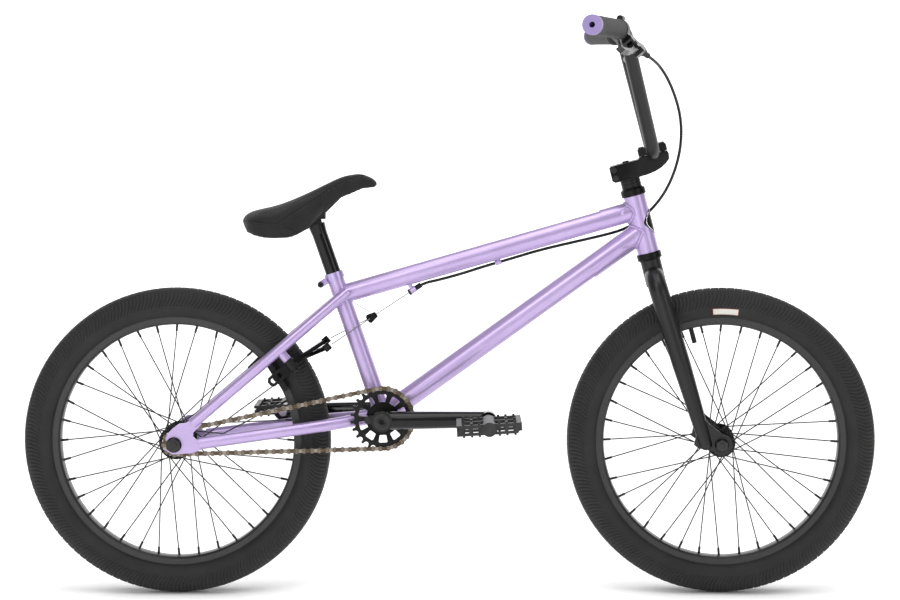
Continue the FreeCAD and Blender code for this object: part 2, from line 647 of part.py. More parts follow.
def make_chain():
    pins = chain_pins()
    for i, a in enumerate(pins):
        b = pins[(i + 1) % len(pins)]
        if i % 2:
            plates = [link_plate(a, b, s * 3.0, s * 4.1, 2.9) for s in SIDES]
            studs = [disc_y(p, CHAIN_LINE - 4.7, CHAIN_LINE + 4.7, CHAIN_PIN_R) for p in (a, b)]
            add("chain_outer_links", fuse(plates[0], plates[1], *studs))
        else:
            plates = [link_plate(a, b, s * 1.75, s * 2.9, 2.9) for s in SIDES]
            rollers = [disc_y(p, CHAIN_LINE - 1.75, CHAIN_LINE + 1.75, ROLLER_R) for p in (a, b)]
            link = fuse(plates[0], plates[1], *rollers)
            for p in (a, b):
                link = link.cut(disc_y(p, CHAIN_LINE - 5, CHAIN_LINE + 5, CHAIN_PIN_R + 0.03))
            add("chain_inner_links", link)


SPROCKET_T = 3.2
WINDOWS = 10
ARM_BOSS_Y = (47.5, 88.0)
LUG_R = 23.0
LUG_BOLT_R = 3.5


def make_sprocket():
    y0, y1 = CHAIN_LINE - SPROCKET_T / 2, CHAIN_LINE + SPROCKET_T / 2
    phase = CHAINSTAY_ANGLE + math.degrees(sprocket_half)
    disc = toothed_disc(BB, SPROCKET_TEETH, sprocket_pitch_r, y0, y1, phase)
    disc = fuse(disc, disc_y(BB, -ARM_BOSS_Y[0], -40.4, 24.5))
    cuts = []
    for k in range(WINDOWS):
        out = unit(polar(BB, 1, CRANK_ANGLE + 18 + 36.0 * k) - BB)
        side = V(-out.z, 0, out.x)
        base = V(BB.x, y0 - 3, BB.z)
        corners = [(27.5, -4.6), (28.5, -5.6), (38.6, -7.4), (40.4, -5.6), (40.4, 5.6), (38.6, 7.4),
                   (28.5, 5.6), (27.5, 4.6)]
        cuts.append(slab([base + out * r + side * t for r, t in corners], V(0, SPROCKET_T + 6, 0)))
    cuts.append(disc_y(BB, -60, -30, SPINDLE_R))
    cuts.append(disc_y(polar(BB, LUG_R, CRANK_ANGLE + 180), -60, -30, LUG_BOLT_R))
    add("sprocket", disc.cut(Part.makeCompound(cuts)))


ARM_R = 15.2             # the tubular arm at the spindle end
EYE_R = 14.0


def crank_arm(side):
    """A tubular arm with a spindle boss and a pedal eye; the right one carries the chain lug."""
    angle = CRANK_ANGLE if side < 0 else CRANK_ANGLE + 180
    eye = polar(BB, CRANK_L, angle)
    start = polar(BB, 0, angle, side * 71.0)
    end = polar(BB, CRANK_L - 4, angle, side * 85.5)
    parts = [disc_y(BB, side * ARM_BOSS_Y[0], side * ARM_BOSS_Y[1], 17.2),
             cone(start, end, ARM_R, EYE_R - 0.7),
             disc_y(eye, side * 73.5, side * 99.0, EYE_R)]
    if side < 0:
        lug = polar(BB, LUG_R, angle + 180)
        parts += [disc_y(lug, -47.5, -62.0, 7.0),
                  slab_y([(0, -7), (0, 7), (-LUG_R, 7), (-LUG_R, -7)], BB, -47.5, -62.0)]
    arm = fuse(parts[0], *parts[1:])
    arm = arm.cut(disc_y(BB, side * 40, side * 95, SPINDLE_R))
    arm = arm.cut(disc_y(eye, side * 60, side * 110, 7.15))
    hollow = cone(start + (end - start) * 0.14, start + (end - start) * 0.88, ARM_R - 1.8, EYE_R - 2.4)
    arm = arm.cut(hollow)
    if side < 0:
        arm = arm.cut(disc_y(lug, -70, -30, LUG_BOLT_R))
    return arm


def make_cranks():
    add("crank_arms", crank_arm(-1), crank_arm(1))
    spindle = disc_y(BB, -84, 84, SPINDLE_R)
    for side in SIDES:
        spindle = spindle.cut(disc_y(BB, side * 54, side * 85, 7.0))
    add("crank_spindle", spindle)
    for side in SIDES:
        bolt = fuse(disc_y(BB, side * 60, side * 84, 7.0), disc_y(BB, side * 84, side * 88, 10.9),
                    disc_y(BB, side * 88, side * 91, 13.2))
        add("crank_bolts", bolt.cut(hexagon(BB, side * 86, side * 92, 8.0)))
        spacer_end = 40.3 if side < 0 else ARM_BOSS_Y[0] - 0.1
        add("crank_bolts", ring_y(BB, side * 34.2, side * spacer_end, 14.0, SPINDLE_R))
        add("bottom_bracket_bearings", ring_y(BB, side * 24, side * BB_HALF_WIDTH, BB_BORE_R,
                                              SPINDLE_R + RUN_FIT))
    lug = polar(BB, LUG_R, CRANK_ANGLE + 180)
    add("crank_bolts", fuse(disc_y(lug, -41.2, -62.0, LUG_BOLT_R), disc_y(lug, -62.0, -66.0, 5.4)))


DRIVER_Y = (-36.6, -49.2)


def make_driver():
    y0, y1 = CHAIN_LINE - 1.5, CHAIN_LINE + 1.5
    phase = CHAINSTAY_ANGLE + math.degrees(cog_half)
    cog = toothed_disc(REAR, COG_TEETH, cog_pitch_r, y0, y1, phase)
    body = disc_y(REAR, DRIVER_Y[0], DRIVER_Y[1], 13.2)
    cog = fuse(cog, body).cut(disc_y(REAR, -60, -30, REAR_AXLE_R + RUN_FIT))
    add("driver_cog", cog)


# ---------------------------------------------------------------- pedals
PEDAL_Y = (116.0, 214.0)
PEDAL_TILT = 3.5
PEDAL_SIDE = [(-52, -8.5), (-52, -4), (-45, 8.5), (50, 8.5), (52, 5), (52, 1), (45, -8.5)]


def tilt_pedal(shape, centre):
    turned = shape.copy()
    turned.rotate(centre, Y, -PEDAL_TILT)
    return turned


def pedal_body(centre, side):
    """A moulded platform: two side plates, end bars, ribs, a centre barrel and grip pins."""
    y0, y1 = side * PEDAL_Y[0], side * PEDAL_Y[1]
    mid_y = (y0 + y1) / 2
    parts = [disc_y(centre, y0, y1 + side * 3, 11.5)]
    for ya, yb in ((y0, y0 + side * 7), (y1 - side * 7, y1), (mid_y - 3, mid_y + 3)):
        plate = slab_y(PEDAL_SIDE, centre, ya, yb)
        for xa, xb in ((-40, -31), (-26, -14), (14, 26), (31, 40)):
            lean = 2.0
            window = slab_y([(xa - lean, -4.4), (xb - lean, -4.4), (xb, 2.6), (xa, 2.6)], centre,
                            min(ya, yb) - 1, max(ya, yb) + 1)
            plate = plate.cut(window)
        parts.append(plate)
    for xa, xb, lean in ((-52, -44, 4), (44, 52, 4), (-30, -26, 0), (26, 30, 0)):
        parts.append(slab_y([(xa, -8.5 + lean), (xb, -8.5 + lean), (xb, -4 + lean), (xa, -4 + lean)],
                            centre, y0, y1))
        parts.append(slab_y([(xa, 4), (xb, 4), (xb, 8.5), (xa, 8.5)], centre, y0, y1))
    for x in (-41, -28, 28, 41):
        for y in (y0 + side * 3.5, mid_y, y1 - side * 3.5):
            parts.append(rod(V(centre.x + x, y, centre.z - 11.2), V(centre.x + x, y, centre.z + 11.2), 1.9))
    for x in (-16, 16):
        for y in (y0 + side * 3.5, y1 - side * 3.5):
            parts.append(rod(V(centre.x + x, y, centre.z - 11.2), V(centre.x + x, y, centre.z + 11.2), 1.9))
    body = fuse(parts[0], *parts[1:])
    body = body.cut(disc_y(centre, y0 - side, y1 - side * 2, 5.0 + RUN_FIT))
    return tilt_pedal(body, centre)


def make_pedals():
    for side, name in ((-1, "right"), (1, "left")):
        angle = CRANK_ANGLE if side < 0 else CRANK_ANGLE + 180
        eye = polar(BB, CRANK_L, angle)
        body = pedal_body(eye, side)
        spindle = fuse(disc_y(eye, side * 78, side * 99.0, 7.15),
                       hexagon(eye, side * 99.0, side * 108.0, 15.0),
                       disc_y(eye, side * 108.0, side * (PEDAL_Y[0] - 0.2), 8.0),
                       disc_y(eye, side * (PEDAL_Y[0] - 0.2), side * (PEDAL_Y[1] - 3), 5.0))
        add("pedal_spindles", spindle)
        for inner, outer, low, high in ((-49.4, -51.8, -8.4, -4.5), (49.4, 51.8, 0.0, 4.0)):
            lens = slab_y([(inner, low), (outer, low), (outer, high), (inner, high)], eye,
                          side * 148.0, side * 182.0)
            lens = tilt_pedal(lens, eye)
            body = body.cut(lens)
            add("pedal_reflectors_" + name, lens)
        add("pedal_body_" + name, body)


# ---------------------------------------------------------------- bars and stem
BAR_BASE = HEAD_TUBE_L            # heights of the stem are counted from the head tube's top
BAR_AHEAD = 47.5
BAR_UP = 60.5
bar_centre = steer_point(BAR_AHEAD, 0, BAR_BASE + BAR_UP)
BAR_LOW_Y = 52.0
BAR_KNEE = V(289.0, 188.0, 937.5)
BAR_END = V(238.0, BAR_HALF_WIDTH, 941.0)
BAR_BEND_R = 45.0
STEM_HALF_WIDTH = 25.0
CROSSBAR_Z = 897.0
GRIP_START = 39.0                 # distances along the grip section from the knee
LEVER_AT = 31.0


def bar_side(point, side):
    return V(point.x, side * point.y, point.z)


def grip_axis(side):
    """Knee point and unit direction of the grip section on one side."""
    knee, end = bar_side(BAR_KNEE, side), bar_side(BAR_END, side)
    return knee, unit(end - knee), (end - knee).Length


def make_handlebar():
    low = V(bar_centre.x, BAR_LOW_Y, bar_centre.z)
    half = [low, BAR_KNEE, BAR_END]
    points = [bar_side(p, -1) for p in reversed(half)] + [bar_side(p, 1) for p in half]
    path = rounded_path(points, [BAR_BEND_R] * 4)
    bar = sweep(path, BAR_R).cut(sweep(path, BAR_R - 1.4))
    add_steered("handlebar", bar)
    t = (CROSSBAR_Z - low.z) / (BAR_KNEE.z - low.z)
    at = low + (BAR_KNEE - low) * t
    cross = rod(bar_side(at, -1), bar_side(at, 1), 7.9).cut(rod(bar_side(at, -1), bar_side(at, 1), 6.7))
    risers = [rod(bar_side(low, s), bar_side(BAR_KNEE, s), BAR_R) for s in SIDES]
    cross = cross.cut(risers[0]).cut(risers[1])
    add_steered("handlebar", min(cross.Solids, key=lambda s: abs(s.CenterOfMass.y)))
    for side in SIDES:
        knee, along, length = grip_axis(side)
        start, end = knee + along * GRIP_START, knee + along * (length - 3)
        grip = pipe(start, end, GRIP_R - 0.4, BAR_R)
        flange = pipe(start, start + along * 3.0, GRIP_R + 1.2, BAR_R)
        ribs = [pipe(start + along * (7 + 5.0 * k), start + along * (9.6 + 5.0 * k), GRIP_R, BAR_R)
                for k in range(26)]
        grip = fuse(grip, flange, *ribs)
        add_steered("grips", grip)
        cap = fuse(rod(end, end + along * 6.5, GRIP_R + 0.4),
                   rod(end + along * 3.0, end - along * 18, BAR_R - 1.4))
        cap = cap.cut(rod(end, end + along * 3.0, BAR_R))
        cap = cap.cut(rod(end - along * 14, end + along * 8, 4.6))
        core = rod(end - along * 19, end + along * 3.0, BAR_R - 1.4)
        hole = rod(end - along * 20, end + along * 8, 4.6)
        add_steered("bar_end_plugs", fuse(cap, core).cut(hole))


def stem_block(points, y_half):
    """A block across the stem, from (ahead, up) points counted from the head tube's top."""
    outline = [steer_point(a, -y_half, BAR_BASE + u) for a, u in points]
    return slab(outline, V(0, 2 * y_half, 0))


STEM_BOLTS = [(BAR_AHEAD + s * 17.5, y) for s in SIDES for y in (-15.0, 15.0)]


def make_stem():
    low = [(-25, 29.0), (-29, 33), (-29, 54), (-26, 57), (20, 57), (24, 59.6), (71, 59.6), (72.5, 55),
           (71, 46), (64, 40), (55, 35), (44, 31.5), (30, 29.3), (17, 29.0)]
    body = stem_block(low, STEM_HALF_WIDTH)
    bar = rod(bar_centre - Y * 40, bar_centre + Y * 40, BAR_R)
    steerer = rod(steer_point(0, 0, BAR_BASE + 20), steer_point(0, 0, BAR_BASE + 70), STEERER_R)
    recess = rod(steer_point(0, 0, BAR_BASE + 53), steer_point(0, 0, BAR_BASE + 60), 17.0)
    slot = stem_block([(-40, 20), (0, 20), (0, 60), (-40, 60)], 1.0)
    body = body.cut(bar).cut(steerer).cut(recess).cut(slot)
    cap = stem_block([(BAR_AHEAD - 24, 61.2), (BAR_AHEAD + 24, 61.2), (BAR_AHEAD + 24, 71.5),
                      (BAR_AHEAD + 22, 74), (BAR_AHEAD - 22, 74), (BAR_AHEAD - 24, 71.5)],
                     STEM_HALF_WIDTH).cut(bar)
    bolts = []
    for ahead, y in STEM_BOLTS:
        def at(up):
            return steer_point(ahead, y, BAR_BASE + up)
        shank = rod(at(44), at(71), 3.0)
        socket_head = rod(at(71), at(75.5), 4.6)
        bolts.append(fuse(shank, socket_head))
        body = body.cut(rod(at(44), at(80), 3.0))
        cap = cap.cut(rod(at(40), at(80), 3.0)).cut(rod(at(70.5), at(80), 4.9))
    for up in (36.0, 50.0):
        centre = steer_point(-22.5, 0, BAR_BASE + up)
        bolt = fuse(rod(centre - Y * 20, centre + Y * 20, 3.0), rod(centre - Y * 25.5, centre - Y * 20, 4.6))
        bolts.append(bolt)
        body = body.cut(rod(centre - Y * 20, centre + Y * 20, 3.0))
        body = body.cut(rod(centre - Y * 26, centre - Y * 20, 4.9))
    add_steered("stem_body", body)
    add_steered("stem_cap", cap)
    add_steered("stem_bolts", *bolts)
    lid_low, lid_high = (steer_point(0, 0, BAR_BASE + u) for u in (53.2, 56.6))
    lid = fuse(rod(lid_low, lid_high, 16.9), rod(lid_high, lid_high + UP * 3, 5.5))
    lid = fuse(lid, rod(lid_low - UP * 20, lid_low, 4.0))
    add_steered("headset_spacers", lid)


# ---------------------------------------------------------------- brake lever
lever_knee, LEVER_OUT = grip_axis(-1)[:2]
LEVER_BAR = lever_knee + LEVER_OUT * LEVER_AT
_drop = V(math.cos(math.radians(LEVER_DROP)), 0, -math.sin(math.radians(LEVER_DROP)))
LEVER_DOWN = unit(_drop - LEVER_OUT * _drop.dot(LEVER_OUT))
LEVER_AXIS = unit(LEVER_OUT.cross(LEVER_DOWN))
LEVER_PIVOT = (2.0, 33.0)
CABLE_FROM = (-28.0, 40.5)        # the cable's line out of the lever, as (out, down)
CABLE_TO = (-56.0, 52.5)


def lever_point(out, down, up=0.0):
    """A point by the lever: out along the grip, down from the bar, and along the pivot."""
    return LEVER_BAR + LEVER_OUT * out + LEVER_DOWN * down + LEVER_AXIS * up


def cable_at(distance):
    """A point along the cable's line through the bracket's nose."""
    start, end = lever_point(*CABLE_FROM), lever_point(*CABLE_TO)
    return start + unit(end - start) * distance


def lever_plate(points, half_thickness):
    outline = [lever_point(o, d, -half_thickness) for o, d in points]
    return slab(outline, LEVER_AXIS * (2 * half_thickness))


BARREL_L = 27.0


def make_lever():
    clamp = fuse(rod(lever_point(-7, 0), lever_point(7, 0), 15.0),
                 lever_plate([(-7, 8), (7, 8), (7, 24), (-7, 24)], 7),
                 lever_plate([(-34, 37), (-30, 49), (-10, 49), (-6, 41), (8, 41), (10, 24), (7, 18),
                              (-7, 18), (-20, 32)], 8.5),
                 rod(lever_point(-7, -12, 12), lever_point(7, -12, 12), 5.0))
    fork_gap = lever_plate([(-8, 27.5), (14, 27.5), (14, 60), (-8, 60)], 5.2)
    clamp = clamp.cut(fork_gap)
    clamp = clamp.cut(rod(lever_point(-8, 0), lever_point(8, 0), BAR_R))
    pivot = rod(lever_point(*LEVER_PIVOT, -20), lever_point(*LEVER_PIVOT, 20), 3.0)
    cable = rod(cable_at(-24), cable_at(20), 3.0)
    clamp = clamp.cut(pivot).cut(cable)
    barrel = fuse(pipe(cable_at(5.4), cable_at(BARREL_L), 4.6, HOUSING_R + 0.1),
                  pipe(cable_at(1.5), cable_at(5.4), 3.0, HOUSING_R + 0.1),
                  pipe(cable_at(8.4), cable_at(12.4), 6.2, 3.0))
    pin = rod(lever_point(*LEVER_PIVOT, -9.6), lever_point(*LEVER_PIVOT, 9.6), 3.0)
    add_steered("brake_lever_bracket", max(clamp.Solids, key=lambda s: s.Volume), barrel, pin)
    inner_edge = [(-4, 29), (8, 31), (22, 38), (44, 43.5), (70, 45.5), (92, 44), (100, 40)]
    outer_edge = [(104, 43), (96, 49.5), (70, 51.5), (44, 50), (20, 46.5), (4, 45.5), (-5, 42)]
    blade = lever_plate(inner_edge + outer_edge, 5.0)
    blade = blade.cut(rod(lever_point(*LEVER_PIVOT, -20), lever_point(*LEVER_PIVOT, 20), 3.0 + RUN_FIT))
    add_steered("brake_lever_blade", blade)


# ---------------------------------------------------------------- brake arms
ARM_TIP = (63.0, 31.0)       # along the stays, and sideways on the far side
ARM_LEAN = 0.2               # how fast the upper arms rise off the stays
# Side of the pivot, name, and the arm's lower and upper face off the stays.
ARM_LEVELS = ((-1, "right", 25.0, 31.5), (1, "left", 32.8, 39.2))
PAD_AT = -33.0
PAD_W = 33.0
WIRE_R = 0.8


def arm_plate(outline, w0, w1, lean=0.0):
    """A plate by the brake pivots, from (along the stays, y) points, leaning off the stays."""
    points = [brake_point(u, y, w0 + lean * u) for u, y in outline]
    return slab(points, PIVOT_DIR * (w1 - w0))


def anchor_point(side, w):
    """Where an arm that starts at height w holds its cable."""
    return brake_point(ARM_TIP[0], -side * ARM_TIP[1], w + ARM_LEAN * ARM_TIP[0])


def brake_arm(side, w0, w1):
    """One arm: its sleeve, the crossing upper part, the padded lower part and the anchor."""
    s = side
    sleeve = rod(brake_point(0, s * PIVOT_Y, 22.2), brake_point(0, s * PIVOT_Y, 40.8), 8.8)
    upper = arm_plate([(-6, s * 36), (-6, s * 50), (18, s * 45), (32, s * 33), (69, -s * 25),
                       (69, -s * 37), (57, -s * 37), (22, s * 20), (10, s * 35)], w0, w1, ARM_LEAN)
    tip = rod(anchor_point(s, w0 - 3), anchor_point(s, w1 + 3), 6.0)
    link = arm_plate([(4, s * 36), (4, s * 48), (-16, s * 45), (-16, s * 38)], 25, 39)
    plate = slab([brake_point(u, s * 38, w) for u, w in ((-15, 24), (-44, 24), (-49, 29), (-49, 37),
                                                       (-44, 42), (-15, 42))], Y * s * 6)
    slot = slab([brake_point(u, s * 36, w) for u, w in ((-23, 29), (-43, 29), (-45, 33), (-43, 37),
                                                      (-23, 37), (-21, 33))], Y * s * 10)
    bore = rod(brake_point(0, s * PIVOT_Y, 20), brake_point(0, s * PIVOT_Y, 45), PIVOT_R + RUN_FIT)
    arm = fuse(sleeve, upper, tip, link, plate).cut(slot).cut(bore)
    hole_at = anchor_point(s, (w0 + w1) / 2)
    return arm.cut(rod(hole_at - Y * 18, hole_at + Y * 18, 2.6))


def make_brake():
    for side, name, w0, w1 in ARM_LEVELS:
        s = side
        arm = brake_arm(s, w0, w1)
        bolt_c = anchor_point(s, (w0 + w1) / 2)
        anchor = fuse(rod(bolt_c - Y * s * 11, bolt_c + Y * s * 6, 2.6),
                      rod(bolt_c - Y * s * 11, bolt_c - Y * s * 7, 4.5))
        pad_c = brake_point(PAD_AT, 0, PAD_W)
        bolt = fuse(rod(pad_c + Y * s * 29, pad_c + Y * s * 52, 3.0),
                    rod(pad_c + Y * s * 44, pad_c + Y * s * 48.5, 5.6),
                    rod(pad_c + Y * s * 29, pad_c + Y * s * 38, 5.6))
        radial = unit(V(pad_c.x - REAR.x, 0, pad_c.z - REAR.z))
        along = V(-radial.z, 0, radial.x)
        track = REAR + radial * 201.8
        outline = [track + Y * s * 18.6 + along * a + radial * r
                   for a, r in ((-27, -3), (-24, -5), (24, -5), (27, -3), (27, 3), (24, 5), (-24, 5),
                                (-27, 3))]
        pad = slab(outline, Y * s * 8.0)
        holder = slab([p + Y * s * 8.0 for p in outline], Y * s * 2.4)
        add("brake_arm_" + name, arm, anchor, bolt)
        add("brake_arm_" + name, pad, holder)


YOKE_AT = V(-129.0, 0, 465.0)
STOP_AT = V(-60.0, 0, 510.5)
GUIDE_AT = V(82.0, 0, 556.6)
WIRE_DIR = unit(STOP_AT - YOKE_AT)


def make_cable_run():
    stop = pipe(STOP_AT - WIRE_DIR * 5, STOP_AT + WIRE_DIR * 5, 5.0, 3.0)
    square = V(-WIRE_DIR.z, 0, WIRE_DIR.x)
    stop_leg = rod(STOP_AT + square * 3, STOP_AT + square * 16, 3.2)
    stop = fuse(stop, stop_leg).cut(top_solid).cut(rod(STOP_AT - WIRE_DIR * 9, STOP_AT + WIRE_DIR * 9, 3.0))
    along = unit(TOP_DIR)
    guide = pipe(GUIDE_AT - along * 5, GUIDE_AT + along * 5, 4.2, HOUSING_R + 0.1)
    guide_leg = rod(GUIDE_AT + V(0, 0, 2.6), GUIDE_AT + V(-2, 0, 12), 3.0)
    guide = fuse(guide, guide_leg).cut(top_solid).cut(rod(GUIDE_AT - along * 9, GUIDE_AT + along * 9,
                                                          HOUSING_R + 0.1))
    largest = [max(shape.Solids, key=lambda s: s.Volume) for shape in (stop, guide)]
    add("frame_braze_ons", *largest)
    barrel = fuse(pipe(STOP_AT - WIRE_DIR * 9, STOP_AT + WIRE_DIR * 5, 3.0, 1.2),
                  pipe(STOP_AT + WIRE_DIR * 5, STOP_AT + WIRE_DIR * 16, 4.4, HOUSING_R + 0.1),
                  pipe(STOP_AT + WIRE_DIR * 3, STOP_AT + WIRE_DIR * 6, 3.0, 1.2))
    lock_ring = pipe(STOP_AT - WIRE_DIR * 8.5, STOP_AT - WIRE_DIR * 5, 5.4, 3.0)
    add("cable_adjuster", barrel, lock_ring)

    across = V(-WIRE_DIR.z, 0, WIRE_DIR.x)
    yoke_outline = [YOKE_AT + WIRE_DIR * a + across * b - Y * 3
                    for a, b in ((9, -4.5), (9, 4.5), (-6, 8), (-9, 5), (-9, -5), (-6, -8))]
    yoke = fuse(slab(yoke_outline, Y * 6), rod(YOKE_AT - Y * 7.5, YOKE_AT + Y * 7.5, 5.0))
    add("cable_yoke", yoke)

    wires = [rod(YOKE_AT + WIRE_DIR * 9.2, STOP_AT - WIRE_DIR * 9.2, WIRE_R)]
    for side, _, w0, w1 in ARM_LEVELS:
        end = anchor_point(side, (w0 + w1) / 2)
        start = YOKE_AT + Y * -side * 8.6 - WIRE_DIR * 4
        wires.append(rod(start, end + unit(start - end) * 8.5, WIRE_R))
    wires.append(rod(YOKE_AT + V(-2, 5, 7), YOKE_AT + V(-36, 21, 26), WIRE_R * 0.7))
    add("brake_wires", *wires)


HOUSING_ROUTE = [V(338.5, -140.0, 878.5), V(353.0, -115.0, 860.5), V(367.0, -86.0, 835.0),
                 V(379.0, -53.0, 805.5), V(385.5, -20.0, 773.0), V(385.0, 8.0, 737.5),
                 V(376.0, 25.0, 700.5), V(362.0, 31.0, 671.0), V(345.0, 32.0, 648.5),
                 V(322.0, 30.0, 626.5), V(293.0, 19.5, 610.5),
                 V(256.0, 8.0, 601.0), V(208.0, 2.0, 590.5), V(150.0, 0.5, 577.0)]


def make_housing():
    """The outer cable, from the lever to the stop under the top tube."""
    lever_end = steered(Part.Vertex(cable_at(BARREL_L))).Point
    lever_in = steered(Part.Vertex(cable_at(0))).Point
    exit_dir = unit(lever_end - lever_in)
    first = lever_end + exit_dir * 0.2
    route = [first, first + exit_dir * 20] + HOUSING_ROUTE
    guide_dir = unit(TOP_DIR)
    route += [GUIDE_AT + guide_dir * 18, GUIDE_AT - guide_dir * 22, V(22.0, 0, 538.0),
              V(-18.0, 0, 527.0), STOP_AT + WIRE_DIR * 21, STOP_AT + WIRE_DIR * 6.2]
    radii = cord_radii(route)
    path = rounded_path(route, radii)
    tube = sweep(path, HOUSING_R)
    ideal = path.Length * math.pi * HOUSING_R ** 2
    print("housing length %.1f, volume ratio %.4f" % (path.Length, tube.Volume / ideal))
    print("radii", " ".join("%.0f" % r for r in radii))
    print("runs", " ".join("%.0f" % (b - a).Length for a, b in zip(route, route[1:])))
    add("brake_housing", tube)


# ---------------------------------------------------------------- saddle and post
SADDLE_PIVOT_Z = 625.0
SADDLE_UP = unit(V(-0.42, 0, 0.9))    # the line of the saddle's bolt
BOLT_L = 28.0
SADDLE_PIVOT = BB + SEAT_UP * ((SADDLE_PIVOT_Z - BB.z) / math.sin(seat))
POST_L = 183.0
POST_NECK_R = 14.4       # the post widens to this just under the saddle
HEAD_BARREL_R = 11.0
# Along the saddle: x, top height at the middle, lower edge height, half width.
SADDLE_STATIONS = [(-341.0, 634.0, 614.0, 22.0), (-333.0, 639.5, 606.0, 48.0),
                   (-315.0, 644.0, 600.5, 62.0), (-287.0, 651.0, 598.0, 69.0),
                   (-258.0, 661.5, 600.5, 66.0), (-232.0, 673.0, 613.5, 53.0),
                   (-205.0, 686.0, 639.0, 38.0), (-180.0, 697.5, 663.5, 27.0),
                   (-152.0, 705.0, 675.5, 22.0), (-134.0, 700.5, 682.0, 17.0),
                   (-125.0, 692.0, 685.0, 8.0)]


def saddle_section(x, top, low, half):
    """A closed smooth outline across the saddle, rounded above and square below."""
    t, b, h = top, low, half
    shoulder = t - (t - b) * 0.30
    pts = [V(x, 0, t), V(x, h * 0.62, t - (t - b) * 0.07), V(x, h * 0.97, shoulder),
           V(x, h * 0.98, b + (t - b) * 0.2), V(x, h * 0.80, b), V(x, 0, b)]
    pts += [V(p.x, -p.y, p.z) for p in reversed(pts[1:-1])]
    curve = Part.BSplineCurve()
    curve.interpolate(pts, PeriodicFlag=True)
    return Part.Wire([curve.toShape()])


def saddle_core(inset):
    """The saddle's form shrunk all round, without nose and tail, and open far below."""
    sections = []
    for x, top, low, half in SADDLE_STATIONS:
        if -320 < x < -150:
            tall, h, t = top - low, half - inset, top - inset
            side = [(h, low - 40), (h, t - tall * 0.35), (h * 0.7, t - tall * 0.02)]
            pts = [V(x, y, z) for y, z in side] + [V(x, -y, z) for y, z in reversed(side)]
            sections.append(Part.makePolygon(pts + [pts[0]]))
    return Part.makeLoft(sections, True, True)


def make_saddle():
    cover = Part.makeLoft([saddle_section(*s) for s in SADDLE_STATIONS], True, False)
    add("seat_padding", cover.cut(saddle_core(10.0)))
    under = [V(x, -100, low + 1.5) for x, top, low, half in SADDLE_STATIONS]
    under += [V(under[-1].x, -100, 500), V(under[0].x, -100, 500)]
    tray = saddle_core(10.05).cut(saddle_core(13.0)).cut(slab(under, Y * 200))
    cradle = slab([V(SADDLE_PIVOT.x + x, -13, SADDLE_PIVOT.z + z)
                   for x, z in ((-24, 4.5), (-24, 38), (17, 52), (17, 4.5))], Y * 26)
    cradle = cradle.cut(rod(SADDLE_PIVOT - Y * 20, SADDLE_PIVOT + Y * 20, HEAD_BARREL_R + 0.15))
    base = fuse(tray, cradle.common(saddle_core(10.05)))
    bolt_seat = SADDLE_PIVOT + SADDLE_UP * BOLT_L
    base = base.cut(rod(SADDLE_PIVOT, bolt_seat, 3.1)).cut(rod(bolt_seat, bolt_seat + SADDLE_UP * 30, 6.2))
    add("seat_base", max(base.Solids, key=lambda s: s.Volume))
    nut = rod(SADDLE_PIVOT - Y * 8, SADDLE_PIVOT + Y * 8, 5.4)
    shank = rod(SADDLE_PIVOT, bolt_seat, 3.0)
    head_part = rod(bolt_seat, bolt_seat + SADDLE_UP * 3.5, 6.0)
    add("seat_bolt", fuse(nut, shank, head_part))


def make_seat_post():
    foot = SADDLE_PIVOT - SEAT_UP * POST_L
    tube = pipe(foot, SADDLE_PIVOT - SEAT_UP * 9, SEAT_POST_R, SEAT_POST_R - 2.0)
    neck = cone(SADDLE_PIVOT - SEAT_UP * 22, SADDLE_PIVOT - SEAT_UP * 5, SEAT_POST_R, POST_NECK_R)
    barrel = rod(SADDLE_PIVOT - Y * 13, SADDLE_PIVOT + Y * 13, HEAD_BARREL_R)
    body = fuse(tube, neck, barrel)
    body = body.cut(rod(SADDLE_PIVOT - Y * 9, SADDLE_PIVOT + Y * 9, 5.5))
    side = V(SADDLE_UP.z, 0, -SADDLE_UP.x)
    base = SADDLE_PIVOT - Y * 3.4
    slot = [base - side * 3.6, base + side * 3.6, base + side * 7 + SADDLE_UP * 14,
            base - side * 7 + SADDLE_UP * 14]
    body = body.cut(slab(slot, Y * 6.8))
    add("seat_post", max(body.Solids, key=lambda s: s.Volume))


BADGE_HIGH, BADGE_WIDE = 21.0, 17.6      # half height and half width, seen from the front


def make_head_badge():
    """A plain oval plate wrapped on the front of the head tube."""
    low, high = steer_point(0, 0, 26), steer_point(0, 0, 74)
    skin = pipe(low, high, HEAD_TUBE_R + 0.8, HEAD_TUBE_R)
    middle = steer_point(0, 0, 50)
    turn = FreeCAD.Rotation(UP, Y, AHEAD, "XYZ")
    flat_oval = Part.Face(Part.Wire([Part.Ellipse(V(0, 0, 0), BADGE_HIGH, BADGE_WIDE).toShape()]))
    flat_oval.Placement = FreeCAD.Placement(middle, turn)
    add("head_badge", skin.common(flat_oval.extrude(AHEAD * 30)))


make_frame_tubes()
make_dropouts()
make_stays()
make_braze_ons()
make_seat_clamp()
make_head_badge()
make_headset()
make_fork()
make_front_wheel()
make_rear_wheel()
make_chain()
make_sprocket()
make_cranks()
make_driver()
make_pedals()
make_handlebar()
make_stem()
make_lever()
make_brake()
make_cable_run()
make_housing()
make_saddle()
make_seat_post()

os.makedirs("parts", exist_ok=True)
for node, shapes in nodes.items():
    solids = [s for shape in shapes for s in shape.Solids]
    for solid in solids:
        if not solid.isValid() or solid.Volume <= 0:
            print("BAD SOLID", node, solid.Volume)
    Part.makeCompound(solids).exportStep("parts/%s.step" % node)
    print("%-26s %3d solids %10.0f mm3" % (node, len(solids), sum(s.Volume for s in solids)))
print(len(nodes), "nodes")
